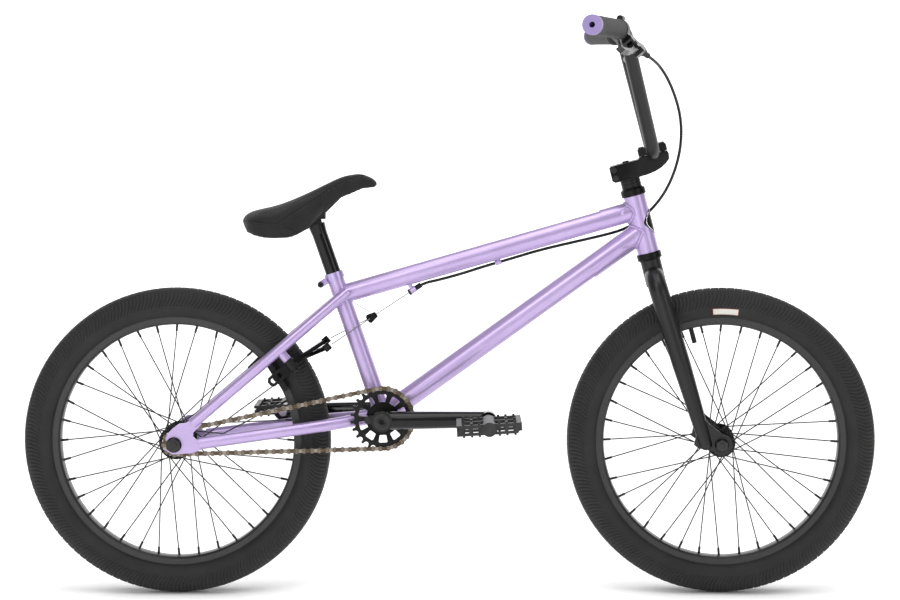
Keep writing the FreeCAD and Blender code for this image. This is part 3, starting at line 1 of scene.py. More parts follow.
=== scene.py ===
"""BMX bicycle: materials, tyres, padded saddle, welds, cables, studio and camera over the CAD frame."""
import bpy
import bmesh
import json
import math
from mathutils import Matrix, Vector
from mathutils.bvhtree import BVHTree
from mathutils.kdtree import KDTree


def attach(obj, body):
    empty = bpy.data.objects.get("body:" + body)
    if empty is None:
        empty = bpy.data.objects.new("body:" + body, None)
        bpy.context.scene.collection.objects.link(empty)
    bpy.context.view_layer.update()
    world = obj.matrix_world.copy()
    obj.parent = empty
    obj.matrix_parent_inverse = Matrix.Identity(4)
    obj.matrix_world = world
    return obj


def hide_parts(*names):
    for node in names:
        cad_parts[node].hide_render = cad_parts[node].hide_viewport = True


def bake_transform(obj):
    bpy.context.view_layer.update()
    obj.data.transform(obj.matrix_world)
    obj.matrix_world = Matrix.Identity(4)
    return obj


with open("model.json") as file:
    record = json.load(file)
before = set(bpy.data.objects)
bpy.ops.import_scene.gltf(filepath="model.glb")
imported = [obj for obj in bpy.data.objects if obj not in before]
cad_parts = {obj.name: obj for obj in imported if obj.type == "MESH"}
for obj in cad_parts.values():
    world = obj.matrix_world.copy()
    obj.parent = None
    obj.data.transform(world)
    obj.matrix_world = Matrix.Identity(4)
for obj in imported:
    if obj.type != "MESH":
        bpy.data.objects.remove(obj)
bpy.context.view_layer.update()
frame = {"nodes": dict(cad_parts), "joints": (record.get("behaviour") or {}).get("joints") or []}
nodes = frame["nodes"]
V = Vector


# ------------------------------------------------------------------ node materials
def node(tree, kind, **inputs):
    made = tree.nodes.new(kind)
    for key, value in inputs.items():
        name = key.replace("_", " ")
        if name in made.inputs:
            made.inputs[name].default_value = value
        else:
            setattr(made, key, value)
    return made


def ramp(tree, source, stops):
    made = tree.nodes.new("ShaderNodeValToRGB")
    bar = made.color_ramp
    while len(bar.elements) < len(stops):
        bar.elements.new(0.5)
    for element, (at, colour) in zip(bar.elements, stops):
        element.position = at
        element.color = (*colour, 1) if len(colour) == 3 else colour
    tree.links.new(source, made.inputs["Fac"])
    return made.outputs["Color"]


def grey(v):
    return (v, v, v)


def finish(name, dark, light, rough=(0.4, 0.5), metallic=0.0, coat=0.0, coat_rough=0.1, patch=30.0,
           grain=900.0, bump=0.05, depth=0.0002, wear_and_edge_highlight=None, sheen=0.0, specular=0.5, weave=0.0,
           edge=(0.57, 0.70)):
    """A surface with slow colour patches, a fine grain in its bump, uneven gloss and lighter sharp edges,
    partly edge wear and partly a painted edge highlight.
    """
    mat = bpy.data.materials.new(name)
    mat.use_nodes = True
    tree = mat.node_tree
    link = tree.links.new
    bsdf = tree.nodes["Principled BSDF"]
    where = tree.nodes.new("ShaderNodeTexCoord")
    scale = node(tree, "ShaderNodeMapping", Scale=(1, 1, 1))
    link(where.outputs["Object"], scale.inputs["Vector"])
    slow = node(tree, "ShaderNodeTexNoise", Scale=patch, Detail=4.0, Roughness=0.6)
    fine = node(tree, "ShaderNodeTexNoise", Scale=grain, Detail=2.0, Roughness=0.5)
    for texture in (slow, fine):
        link(scale.outputs["Vector"], texture.inputs["Vector"])
    colour = ramp(tree, slow.outputs["Fac"], [(0.32, dark), (0.68, light)])
    # Lighter sharp edges from pointiness: partly edge wear, partly a painted edge highlight.
    if wear_and_edge_highlight:
        geometry = tree.nodes.new("ShaderNodeNewGeometry")
        sharp = ramp(tree, geometry.outputs["Pointiness"], [(edge[0], grey(0)), (edge[1], grey(1))])
        worn_and_lit_edge_mask = node(tree, "ShaderNodeMath", operation="MULTIPLY")
        link(sharp, worn_and_lit_edge_mask.inputs[0])
        link(fine.outputs["Fac"], worn_and_lit_edge_mask.inputs[1])
        mix = node(tree, "ShaderNodeMixRGB", Color2=(*wear_and_edge_highlight, 1))
        link(worn_and_lit_edge_mask.outputs[0], mix.inputs["Fac"])
        link(colour, mix.inputs["Color1"])
        colour = mix.outputs["Color"]
    link(colour, bsdf.inputs["Base Color"])
    gloss = tree.nodes.new("ShaderNodeMapRange")
    gloss.inputs["To Min"].default_value, gloss.inputs["To Max"].default_value = rough
    link(slow.outputs["Fac"], gloss.inputs["Value"])
    link(gloss.outputs["Result"], bsdf.inputs["Roughness"])
    height = fine.outputs["Fac"]
    if weave:
        height = woven(tree, scale.outputs["Vector"], weave)
    relief = node(tree, "ShaderNodeBump", Strength=bump, Distance=depth)
    link(height, relief.inputs["Height"])
    link(relief.outputs["Normal"], bsdf.inputs["Normal"])
    bsdf.inputs["Metallic"].default_value = metallic
    bsdf.inputs["Coat Weight"].default_value = coat
    bsdf.inputs["Coat Roughness"].default_value = coat_rough
    bsdf.inputs["Sheen Weight"].default_value = sheen
    bsdf.inputs["Specular IOR Level"].default_value = specular
    return mat


def woven(tree, vector, pitch):
    """Two crossed sets of fine threads."""
    link = tree.links.new
    bands = []
    for axis in ("X", "Y"):
        wave = node(tree, "ShaderNodeTexWave", bands_direction=axis, Scale=pitch, Distortion=0.4)
        link(vector, wave.inputs["Vector"])
        bands.append(wave)
    both = node(tree, "ShaderNodeMath", operation="MULTIPLY")
    for i, wave in enumerate(bands):
        link(wave.outputs["Fac"], both.inputs[i])
    return both.outputs[0]


def studio_floor(*args, glow, far_glow, **settings):
    """The pale sweep: its own glow grows with distance, and fades where something stands close to it, a
    painted contact shadow.
    """
    mat = finish(*args, **settings)
    tree = mat.node_tree
    link = tree.links.new
    where = tree.nodes.new("ShaderNodeTexCoord")
    distance = node(tree, "ShaderNodeVectorMath", operation="LENGTH")
    link(where.outputs["Object"], distance.inputs[0])
    spread = node(tree, "ShaderNodeMapRange", From_Min=1.5, From_Max=4.5, To_Min=glow, To_Max=far_glow)
    link(distance.outputs["Value"], spread.inputs["Value"])
    # Ambient occlusion dims the floor's glow under and beside the wheels: a painted contact shadow.
    near = node(tree, "ShaderNodeAmbientOcclusion", Distance=0.16)
    painted_contact_shadow = node(tree, "ShaderNodeMapRange", From_Min=0.45, From_Max=0.98, To_Min=0.0, To_Max=1.0)
    link(near.outputs["AO"], painted_contact_shadow.inputs["Value"])
    strength = node(tree, "ShaderNodeMath", operation="MULTIPLY")
    link(spread.outputs["Result"], strength.inputs[0])
    link(painted_contact_shadow.outputs["Result"], strength.inputs[1])
    bsdf = tree.nodes["Principled BSDF"]
    bsdf.inputs["Emission Color"].default_value = (1, 1, 1, 1)
    link(strength.outputs[0], bsdf.inputs["Emission Strength"])
    return mat


FLAKE_SHARE = 0.22


def metallic_paint(name, dark, light, flake):
    """Satin metallic paint: a flake sparkle under a soft clear coat."""
    mat = finish(name, dark, light, rough=(0.30, 0.36), metallic=0.50, coat=0.45, coat_rough=0.20,
                 patch=14.0, grain=260.0, bump=0.03, depth=0.0004)
    tree = mat.node_tree
    link = tree.links.new
    bsdf = tree.nodes["Principled BSDF"]
    where = tree.nodes.new("ShaderNodeTexCoord")
    cells = node(tree, "ShaderNodeTexVoronoi", Scale=1500.0)
    link(where.outputs["Object"], cells.inputs["Vector"])
    bright = ramp(tree, cells.outputs["Color"], [(0.35, grey(0)), (0.95, grey(1))])
    old = bsdf.inputs["Base Color"].links[0].from_socket
    mix = node(tree, "ShaderNodeMixRGB", Color2=(*flake, 1))
    part = node(tree, "ShaderNodeMath", operation="MULTIPLY")
    part.inputs[1].default_value = FLAKE_SHARE
    link(bright, part.inputs[0])
    link(part.outputs[0], mix.inputs["Fac"])
    link(old, mix.inputs["Color1"])
    link(mix.outputs["Color"], bsdf.inputs["Base Color"])
    return mat


LAVENDER = ((0.440, 0.325, 0.595), (0.490, 0.370, 0.650))
mats = {
    "paint": metallic_paint("lavender_paint", *LAVENDER, (0.72, 0.66, 0.84)),
    "lavender_alloy": finish("lavender_alloy", (0.34, 0.25, 0.52), (0.40, 0.30, 0.60), (0.26, 0.34),
                             metallic=0.7, grain=700, bump=0.04, wear_and_edge_highlight=(0.7, 0.62, 0.85)),
    "matte_black": finish("matte_black_paint", grey(0.007), grey(0.010), (0.30, 0.38), grain=1400,
                          bump=0.08, wear_and_edge_highlight=grey(0.03), specular=0.36),
    "gloss_black": finish("gloss_black_enamel", grey(0.003), grey(0.005), (0.16, 0.22), coat=0.30,
                          coat_rough=0.06, patch=20, grain=180, bump=0.02, specular=0.15),
    "black_alloy": finish("black_anodised", grey(0.003), grey(0.005), (0.24, 0.32), grain=1100, bump=0.05,
                          wear_and_edge_highlight=grey(0.05), specular=0.14),
    # The rim's lighter sharp edges: partly edge wear, partly a painted highlight on its bevels.
    "rim": finish("rim_black", grey(0.012), grey(0.018), (0.30, 0.38), metallic=0.1, grain=1200, bump=0.08,
                  wear_and_edge_highlight=grey(0.09), edge=(0.52, 0.62), specular=0.42),
    "black_steel": finish("black_oxide", grey(0.008), grey(0.014), (0.26, 0.38), metallic=0.5, grain=900,
                          bump=0.06, wear_and_edge_highlight=grey(0.16), specular=0.25),
    "spoke": finish("spoke_black", grey(0.012), grey(0.020), (0.30, 0.40), metallic=0.4, grain=900,
                    bump=0.04),
    "steel": finish("zinc_steel", grey(0.42), grey(0.60), (0.22, 0.34), metallic=1.0, grain=900, bump=0.06,
                    wear_and_edge_highlight=grey(0.8)),
    "wire": finish("cable_wire", grey(0.16), grey(0.26), (0.28, 0.38), metallic=0.8, grain=1500, bump=0.3,
                   depth=0.0001),
    # The chain's lighter link edges: partly wear, partly a painted highlight.
    "chain": finish("chain_brown", (0.070, 0.050, 0.033), (0.125, 0.094, 0.065), (0.28, 0.42), metallic=0.85,
                    patch=160, grain=1100, bump=0.10, wear_and_edge_highlight=(0.50, 0.45, 0.40), edge=(0.51, 0.60)),
    "rubber": finish("tyre_rubber", (0.0165, 0.0163, 0.0162), (0.0235, 0.0232, 0.0229), (0.58, 0.72), patch=24,
                     grain=700, bump=0.25, depth=0.0003, sheen=0.05, specular=0.25),
    "grip": finish("grip_rubber", grey(0.045), grey(0.065), (0.55, 0.68), patch=60, grain=1200, bump=0.22,
                   sheen=0.1, specular=0.3),
    "black_plastic": finish("black_nylon", grey(0.008), grey(0.013), (0.38, 0.50), grain=1300, bump=0.2,
                            wear_and_edge_highlight=grey(0.04), specular=0.25),
    "grey_plastic": finish("pedal_nylon", grey(0.020), grey(0.029), (0.36, 0.48), grain=1300, bump=0.2,
                           wear_and_edge_highlight=grey(0.08), specular=0.35),
    "jacket": finish("cable_jacket", grey(0.006), grey(0.009), (0.22, 0.30), grain=500, bump=0.05,
                     specular=0.35),
    "plug": finish("plug_nylon", (0.25, 0.19, 0.41), (0.30, 0.23, 0.48), (0.34, 0.42), grain=900, bump=0.12),
    "cover": finish("seat_cover", grey(0.0105), grey(0.016), (0.50, 0.62), patch=40, bump=0.55,
                    depth=0.0004, sheen=0.03, weave=420.0, specular=0.22),
    "amber": finish("amber_lens", (0.62, 0.07, 0.01), (0.80, 0.14, 0.02), (0.08, 0.14), coat=1.0,
                    patch=300, grain=600, bump=0.4),
    "lever": finish("lever_black", grey(0.005), grey(0.009), (0.20, 0.30), grain=800, bump=0.05,
                    wear_and_edge_highlight=grey(0.16), edge=(0.60, 0.74), specular=0.22),
    "thread": finish("seam_thread", grey(0.020), grey(0.032), (0.5, 0.6), grain=2500, bump=0.4, sheen=0.1),
    "white": finish("label_print", (0.62, 0.60, 0.55), (0.70, 0.68, 0.62), (0.4, 0.5), grain=900, bump=0.05),
    "red": finish("label_line", (0.16, 0.025, 0.018), (0.21, 0.035, 0.022), (0.4, 0.5), grain=900, bump=0.05),
    "floor": studio_floor("studio_floor", grey(0.86), grey(0.88), (0.85, 0.92), patch=2, grain=60, bump=0.02,
                    glow=0.58, far_glow=0.90),
    "bright": finish("bright_edge", grey(0.62), grey(0.74), (0.18, 0.26), metallic=1.0, grain=900, bump=0.04),
}

PAINTED = {
    "paint": "head_tube top_tube down_tube seat_tube bottom_bracket_shell chainstays seatstays "
             "rear_dropouts frame_braze_ons",
    "lavender_alloy": "seat_clamp",
    "matte_black": "fork_steerer fork_legs handlebar",
    "gloss_black": "seat_post crank_arms",
    "black_alloy": "headset_cups headset_spacers stem_body stem_cap sprocket cable_adjuster "
                   "front_hub rear_hub brake_arm_right brake_arm_left cable_yoke head_badge",
    "rim": "front_rim rear_rim",
    "black_steel": "frame_bolts stem_bolts rear_axle front_axle crank_bolts "
                   "seat_bolt",
    "spoke": "front_spokes rear_spokes",
    "wire": "brake_wires",
    "steel": "headset_bearings bottom_bracket_bearings driver_cog crank_spindle "
             "pedal_spindles",
    "chain": "chain_outer_links chain_inner_links",
    "rubber": "front_tyre rear_tyre front_inner_tube rear_inner_tube",
    "grip": "grips",
    "plug": "bar_end_plugs",
    "jacket": "brake_housing",
    "black_plastic": "seat_base",
    "grey_plastic": "pedal_body_right pedal_body_left",
    "cover": "seat_padding",
    "amber": "pedal_reflectors_right pedal_reflectors_left",
    "lever": "brake_lever_bracket brake_lever_blade",
}
for look, names in PAINTED.items():
    for name in names.split():
        mesh = nodes[name].data
        mesh.materials.clear()
        mesh.materials.append(mats[look])


# ------------------------------------------------------------------ mesh helpers
def piece(name, verts, faces, look, body, smooth=True):
    mesh = bpy.data.meshes.new(name)
    mesh.from_pydata(verts, [], faces)
    mesh.update()
    made = bpy.data.objects.new(name, mesh)
    bpy.context.scene.collection.objects.link(made)
    mesh.materials.append(mats[look])
    for polygon in mesh.polygons:
        polygon.use_smooth = smooth
    if body:
        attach(made, body)
    return made


def grid_faces(rows, columns, closed_rows=False, closed_columns=False):
    faces = []
    for i in range(rows if closed_rows else rows - 1):
        for j in range(columns if closed_columns else columns - 1):
            a, b = i * columns + j, i * columns + (j + 1) % columns
            c = ((i + 1) % rows) * columns + (j + 1) % columns
            d = ((i + 1) % rows) * columns + j
            faces.append((a, b, c, d))
    return faces


def tube(name, points, radius, look, body, sides=12, closed=False):
    """A round tube along points; radius is a number or a function of the share of the way along."""
    verts, count = [], len(points)
    side = None
    for i, p in enumerate(points):
        ahead = points[(i + 1) % count] if closed or i + 1 < count else p
        behind = points[i - 1] if closed or i else p
        along = (ahead - behind).normalized()
        if side is None:
            side = along.orthogonal().normalized()
        side = (side - along * side.dot(along)).normalized()
        other = along.cross(side)
        r = radius(i / max(count - 1, 1)) if callable(radius) else radius
        for k in range(sides):
            a = 2 * math.pi * k / sides
            verts.append(p + (side * math.cos(a) + other * math.sin(a)) * r)
    faces = grid_faces(count, sides, closed_rows=closed, closed_columns=True)
    if not closed:
        faces.append(tuple(reversed(range(sides))))
        faces.append(tuple(range((count - 1) * sides, count * sides)))
    return piece(name, verts, faces, look, body)


def join(name, parts):
    """One object out of several, keeping the first one's body."""
    target = parts[0]
    bm = bmesh.new()
    for part in parts:
        bm.from_mesh(part.data)
    bm.to_mesh(target.data)
    bm.free()
    for part in parts[1:]:
        bpy.data.objects.remove(part)
    target.name = name
    for polygon in target.data.polygons:
        polygon.use_smooth = True
    return target


front_spin, rear_spin = frame["joints"][1:3]
WHEELS = {
    "front": (V(front_spin["pos_m"]), V(front_spin["axis"]).normalized()),
    "rear": (V(rear_spin["pos_m"]), V((0, 1, 0))),
}


# ------------------------------------------------------------------ tyres
RING_R, SECTION_R = 0.2285, 0.029
SIPES = 240
BEAD_CORNERS = ((0.0143, 0.2096), (0.0143, 0.2036), (-0.0143, 0.2036), (-0.0143, 0.2096))


def saw(x):
    """A triangle wave from -1 to 1 with period 1."""
    return 4 * abs((x % 1) - 0.5) - 1


def tread_depth(a, sipe, groove):
    """How deep the tread is cut, in metres, at an angle in degrees from the crown of the section."""
    if a > 97:
        return 0.0008
    if 31 < a < 35:
        return 0.0014
    if groove and 36 < a < 94:
        return 0.0011 * min(1, (a - 36) / 4, (94 - a) / 4)
    if groove and a < 29 and sipe % 2 == 0:
        return 0.0016 * min(1, (29 - a) / 4)
    return 0.0


def tyre(name, which):
    centre, axis = WHEELS[which]
    ahead = V((0, 0, 1)).cross(axis).normalized() * -1
    up = axis.cross(ahead).normalized()
    if up.z < 0:
        up, ahead = -up, -ahead
    psis = [-140, -125, -112, -103, -98, -95.5, -94, -90, -82, -74, -66, -58, -50, -44, -40, -37, -35.5,
            -33, -30.5, -29, -25, -18, -9, 0]
    psis += [-p for p in reversed(psis[:-1])]
    steps = (-0.13, -0.06, 0.06, 0.13, 0.5)
    verts = []
    for s in range(SIPES):
        for step in steps:
            u = s + step
            groove = abs(step) < 0.1
            for psi in psis:
                a = abs(psi)
                past = max(0, a - 30)
                lean = 0.9 * math.sin(math.radians(past * 2.6)) + 1.3 - 0.02 * past
                theta = 2 * math.pi * (u + lean) / SIPES
                wave = saw(u / 2.0) * 2.2 if 27 < a < 42 else 0
                bend = math.radians(psi + math.copysign(wave, psi))
                out = SECTION_R - tread_depth(a, s, groove) - max(0, a - 112) * 0.00007
                r = RING_R + out * math.cos(bend)
                y = out * math.sin(bend)
                verts.append(centre + axis * y + (ahead * math.cos(theta) + up * math.sin(theta)) * r)
    rows, columns = SIPES * len(steps), len(psis)
    inner = []
    for i in range(rows):
        theta = 2 * math.pi * i / rows
        for y, r in BEAD_CORNERS:
            inner.append(centre + axis * y + (ahead * math.cos(theta) + up * math.sin(theta)) * r)
    faces = grid_faces(rows, columns, closed_rows=True)
    base = len(verts)
    faces += [tuple(base + k for k in f) for f in grid_faces(rows, 4, closed_rows=True)]
    verts += inner
    for i in range(rows):
        j = (i + 1) % rows
        faces.append((i * columns, j * columns, base + j * 4 + 3, base + i * 4 + 3))
        faces.append((i * columns + columns - 1, base + i * 4, base + j * 4, j * columns + columns - 1))
    made = piece(name, verts, faces, "rubber", which + "_wheel")
    bm = bmesh.new()
    bm.from_mesh(made.data)
    bmesh.ops.recalc_face_normals(bm, faces=bm.faces)
    bm.to_mesh(made.data)
    bm.free()
    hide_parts(which + "_tyre")
    return made


for which in ("front", "rear"):
    tyre(which + "_tread", which)


def sidewall_label():
    """A blank printed patch on the front tyre's right sidewall: a pale field in a dark border."""
    centre, axis = WHEELS["front"]
    ahead = V((0, 0, 1)).cross(axis).normalized() * -1
    up = axis.cross(ahead).normalized() * -1
    if up.z < 0:
        up = -up
    if ahead.x < 0:
        ahead = -ahead
    border = ("tyre_label_border", 5.7, 0.2140, 0.2252, 0.0004, "red")
    field = ("tyre_label", 5.4, 0.2149, 0.2243, 0.0007, "white")
    for name, half_angle, low, high, lift, look in (border, field):
        verts = []
        for i in range(25):
            a = math.radians(91.5 + half_angle * (1 - i / 12.0))
            for k in range(7):
                r = low + (high - low) * k / 6
                y = -math.sqrt(SECTION_R ** 2 - (r - RING_R) ** 2) - lift
                verts.append(centre + axis * y + (ahead * math.cos(a) * -1 + up * math.sin(a)) * r)
        patch = piece(name, verts, grid_faces(25, 7), look, None)
        thick = patch.modifiers.new("thickness", "SOLIDIFY")
        thick.thickness = 0.0003
        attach(patch, "front_wheel")


sidewall_label()


# ------------------------------------------------------------------ saddle
SEAM = [(-0.341, 0.014, 0.627), (-0.3285, 0.045, 0.6255), (-0.302, 0.062, 0.6245), (-0.280, 0.066, 0.624),
        (-0.2665, 0.062, 0.633), (-0.2465, 0.054, 0.646), (-0.2273, 0.043, 0.659), (-0.2005, 0.031, 0.6785),
        (-0.181, 0.025, 0.6905), (-0.159, 0.018, 0.700), (-0.1415, 0.009, 0.7025)]
BRANCH = [(-0.2775, 0.066, 0.6235), (-0.268, 0.0655, 0.6195), (-0.2585, 0.063, 0.614),
          (-0.2495, 0.059, 0.609), (-0.2415, 0.054, 0.604)]
# Along the saddle: x, top height at the middle, lower edge height, half width.
STATIONS = [(-0.3440, 0.6290, 0.6200, 0.010), (-0.3415, 0.6340, 0.6130, 0.024),
            (-0.3335, 0.6392, 0.6060, 0.047), (-0.3150, 0.6440, 0.6005, 0.0615),
            (-0.2870, 0.6505, 0.5980, 0.0685),
            (-0.2580, 0.6610, 0.6008, 0.0655), (-0.2320, 0.6725, 0.6137, 0.0525),
            (-0.2050, 0.6855, 0.6430, 0.0375), (-0.1800, 0.6970, 0.6635, 0.0265),
            (-0.1520, 0.7050, 0.6762, 0.0220), (-0.1370, 0.7030, 0.6800, 0.0190),
            (-0.1265, 0.6985, 0.6812, 0.0150), (-0.1205, 0.6930, 0.6825, 0.0090),
            (-0.1185, 0.6895, 0.6845, 0.0040)]


def between(values, t):
    """A smooth value at a place t counted in list positions."""
    i = min(int(t), len(values) - 2)
    u = t - i
    p = [values[max(i - 1, 0)], values[i], values[i + 1], values[min(i + 2, len(values) - 1)]]
    slope_in, slope_out = (p[2] - p[0]) / 2, (p[3] - p[1]) / 2
    return ((2 * u ** 3 - 3 * u ** 2 + 1) * p[1] + (u ** 3 - 2 * u ** 2 + u) * slope_in
            + (3 * u ** 2 - 2 * u ** 3) * p[2] + (u ** 3 - u ** 2) * slope_out)


def saddle_form():
    """The saddle's outer shape, lofted through its stations, with a shallow hollow below."""
    verts, rows, around = [], 73, 56
    for r in range(rows):
        t = r * (len(STATIONS) - 1) / (rows - 1)
        x, top, low, half = [between([s[k] for s in STATIONS], t) for k in range(4)]
        tall = top - low
        side = [(0.0, top), (0.62 * half, top - 0.07 * tall), (0.96 * half, top - 0.30 * tall),
                (0.985 * half, low + 0.25 * tall), (0.86 * half, low), (0.66 * half, low + 0.15 * tall),
                (0.0, low + 0.22 * tall)]
        ring = side + [(-y, z) for y, z in reversed(side[1:-1])]
        count = len(ring)
        for k in range(around):
            u = k * count / around
            i, f = int(u), u - int(u)
            p = [V(ring[(i + d) % count]) for d in (-1, 0, 1, 2)]
            y, z = (p[1] + (p[2] - p[0]) * (f / 2) + (2 * p[0] - 5 * p[1] + 4 * p[2] - p[3]) * (f * f / 2)
                    + (3 * p[1] - p[0] - 3 * p[2] + p[3]) * (f ** 3 / 2))
            verts.append((x, y, z))
    faces = grid_faces(rows, around, closed_columns=True)
    faces.append(tuple(range(around)))
    faces.append(tuple(reversed(range((rows - 1) * around, rows * around))))
    return piece("saddle_cover", verts, faces, "cover", None)


def smooth_line(points, side, tree, spacing=0.0012):
    """Points along a spline through corners; with a tree, each is a place on its skin and the normal."""
    curve = bpy.data.curves.new("line", "CURVE")
    curve.dimensions = "3D"
    spline = curve.splines.new("NURBS")
    spline.points.add(len(points) - 1)
    for slot_point, (x, y, z) in zip(spline.points, points):
        slot_point.co = (x, y * side, z, 1)
    spline.use_endpoint_u = True
    spline.order_u = 3
    spline.resolution_u = 12
    holder = bpy.data.objects.new("line", curve)
    bpy.context.scene.collection.objects.link(holder)
    mesh = bpy.data.meshes.new_from_object(holder)
    raw = [v.co.copy() for v in mesh.vertices]
    bpy.data.objects.remove(holder)
    line = [raw[0]]
    for p in raw[1:]:
        while (p - line[-1]).length > spacing:
            line.append(line[-1] + (p - line[-1]).normalized() * spacing)
    if tree is None:
        return line
    found = []
    for p in line:
        place, normal, _index, _gap = tree.find_nearest(p)
        found.append((place, normal))
    return found


def saddle():
    """The padded cover: the foam's shape, puffed by a cloth run, then sewn along its seams."""
    made = saddle_form()
    remesh = made.modifiers.new("remesh", "REMESH")
    remesh.mode = "VOXEL"
    remesh.voxel_size = 0.004
    bake(made)
    puff(made, pressure=4.0, cap=0.0018)
    relax = made.modifiers.new("relax", "SMOOTH")
    relax.factor, relax.iterations = 0.5, 4
    finer = made.modifiers.new("finer", "SUBSURF")
    finer.levels = finer.render_levels = 2
    bake(made)
    tree = BVHTree.FromObject(made, bpy.context.evaluated_depsgraph_get())
    lines = [smooth_line(points, side, tree) for points in (SEAM, BRANCH) for side in (-1, 1)]
    places = [p for line in lines for p, _n in line]
    near = KDTree(len(places))
    for i, p in enumerate(places):
        near.insert(p, i)
    near.balance()
    for vertex in made.data.vertices:
        _p, _i, gap = near.find(vertex.co)
        if gap < 0.006:
            vertex.co -= vertex.normal * (0.0013 * math.exp(-(gap / 0.0013) ** 2)
                                          - 0.0004 * math.exp(-((gap - 0.003) / 0.0012) ** 2))
    made.data.update()
    for polygon in made.data.polygons:
        polygon.use_smooth = True
    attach(made, "seat")
    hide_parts("seat_padding")
    tree = BVHTree.FromObject(made, bpy.context.evaluated_depsgraph_get())
    stitches = []
    for points in (SEAM, BRANCH):
        for side in (-1, 1):
            line = smooth_line(points, side, tree)
            for i in range(2, len(line) - 4, 4):
                (a, n), (b, _m) = line[i], line[i + 2]
                across = (b - a).normalized().cross(n) * 0.0022
                ends = []
                for p in (a + across, b + across):
                    place, normal, _index, _gap = tree.find_nearest(p)
                    ends.append(place + normal * 0.0001)
                middle = (ends[0] + ends[1]) / 2 + n * 0.0003
                stitches.append(tube("stitch", [ends[0], middle, ends[1]], 0.0003, "thread", None, sides=5))
    sewn = join("saddle_stitches", stitches)
    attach(sewn, "seat")


def bake(made):
    """Turn the object's modifiers into plain mesh."""
    graph = bpy.context.evaluated_depsgraph_get()
    mesh = bpy.data.meshes.new_from_object(made.evaluated_get(graph))
    made.modifiers.clear()
    old = made.data
    made.data = mesh
    bpy.data.meshes.remove(old)


def puff(made, pressure, cap):
    """Swell the mesh with cloth under pressure, no point moving further than the cap."""
    start = [v.co.copy() for v in made.data.vertices]
    cloth = made.modifiers.new("cloth", "CLOTH")
    cloth.settings.use_pressure = True
    cloth.settings.uniform_pressure_force = pressure
    cloth.settings.effector_weights.gravity = 0
    cloth.settings.tension_stiffness = cloth.settings.compression_stiffness = 40
    cloth.collision_settings.use_collision = False
    scene = bpy.context.scene
    for step in range(1, 21):
        scene.frame_set(step)
    bake(made)
    scene.frame_set(1)
    for vertex, place in zip(made.data.vertices, start):
        move = vertex.co - place
        if move.length > cap:
            vertex.co = place + move * (cap / move.length)


saddle()


# ------------------------------------------------------------------ welds
REACH, OFFSET = 0.2, 0.0006       # how far a weld looks ahead for metal, and its gap outside the tube


def bead(name, start, direction, radius, onto, size=0.0028):
    """A rippled weld bead where a round tube meets other metal: each of its sides is run onward to it."""
    graph = bpy.context.evaluated_depsgraph_get()
    trees = [BVHTree.FromObject(nodes[n], graph) for n in onto]
    along = V(direction).normalized()
    side = V((0, 1, 0))
    side = (side - along * side.dot(along)).normalized()
    other = along.cross(side)
    path = []
    for k in range(72):
        a = 2 * math.pi * k / 72
        ring = side * math.cos(a) + other * math.sin(a)
        origin = V(start) + ring * (radius + OFFSET)
        best = None
        for tree in trees:
            hit, _normal, _index, gap = tree.ray_cast(origin, along, REACH)
            if hit is not None and (best is None or gap < best[1]):
                best = (hit, gap)
        if best:
            path.append(best[0] - along * size * 0.35)
    if len(path) < 60:
        return None
    length = sum((a - b).length for a, b in zip(path, path[1:]))
    ripples = max(8, int(length / 0.0027))
    fine = []
    for i, a in enumerate(path):
        b = path[(i + 1) % len(path)]
        for k in range(4):
            fine.append(a + (b - a) * (k / 4.0))
    return tube(name, fine, lambda t: size * (0.72 + 0.28 * abs(math.sin(math.pi * ripples * t))),
                "paint", "frame", sides=8, closed=True)


def edge_bead(name, start, direction, out, radius, angles, length, size=0.0016):
    """A weld run along a strengthening plate's edge, on one side of a tube."""
    across = direction.cross(out)
    count = int(length / 0.0005)
    ripples = length / 0.0026
    path = []
    for i in range(count + 1):
        t = i / count
        a = math.radians(angles[0] + (angles[1] - angles[0]) * t)
        ring = out * math.cos(a) + across * math.sin(a)
        path.append(start + direction * (length * t) + ring * radius)
    return tube(name, path, lambda t: size * (0.6 + 0.4 * abs(math.sin(math.pi * ripples * t))), "paint",
                "frame", sides=8)


BB = V((-0.1103, 0, 0.2993))
CROWN = V((0.33322, 0, 0.57335))
UP = V((-0.25038, 0, 0.968148))
SEAT_UP = V((-0.32722, 0, 0.94495))
TOP_REAR, TOP_FRONT = V((-0.1807, 0, 0.5026)), CROWN + UP * 0.073
DOWN_FRONT = CROWN + UP * 0.039
TOP_DIR = (TOP_FRONT - TOP_REAR).normalized()
DOWN_DIR = (DOWN_FRONT - BB).normalized()
bead("weld_top_front", TOP_FRONT - TOP_DIR * 0.09, TOP_DIR, 0.0159, ["head_tube"])
bead("weld_down_front", DOWN_FRONT - DOWN_DIR * 0.12, DOWN_DIR, 0.01745, ["head_tube", "top_tube"])
bead("weld_top_rear", TOP_REAR + TOP_DIR * 0.1, -TOP_DIR, 0.0159, ["seat_tube"])
bead("weld_down_rear", BB + DOWN_DIR * 0.14, -DOWN_DIR, 0.01745, ["bottom_bracket_shell", "seat_tube"])
bead("weld_seat_low", BB + SEAT_UP * 0.10, -SEAT_UP, 0.0143, ["bottom_bracket_shell"])
for side in (-1, 1):
    stay_low, stay_top = V((-0.272, side * 0.044, 0.422)), V((-0.168, side * 0.0225, 0.510))
    stay_dir = (stay_top - stay_low).normalized()
    bead("weld_seatstay_%s" % "rl"[side > 0], stay_low + stay_dir * 0.05, stay_dir, 0.009,
         ["seat_tube", "top_tube"], size=0.0018)
    waist, front = V((-0.164, side * 0.026, 0.2927)), V((-0.1163, side * 0.022, 0.2993))
    bead("weld_chainstay_%s" % "rl"[side > 0], waist, front - waist, 0.010, ["bottom_bracket_shell"],
         size=0.0018)


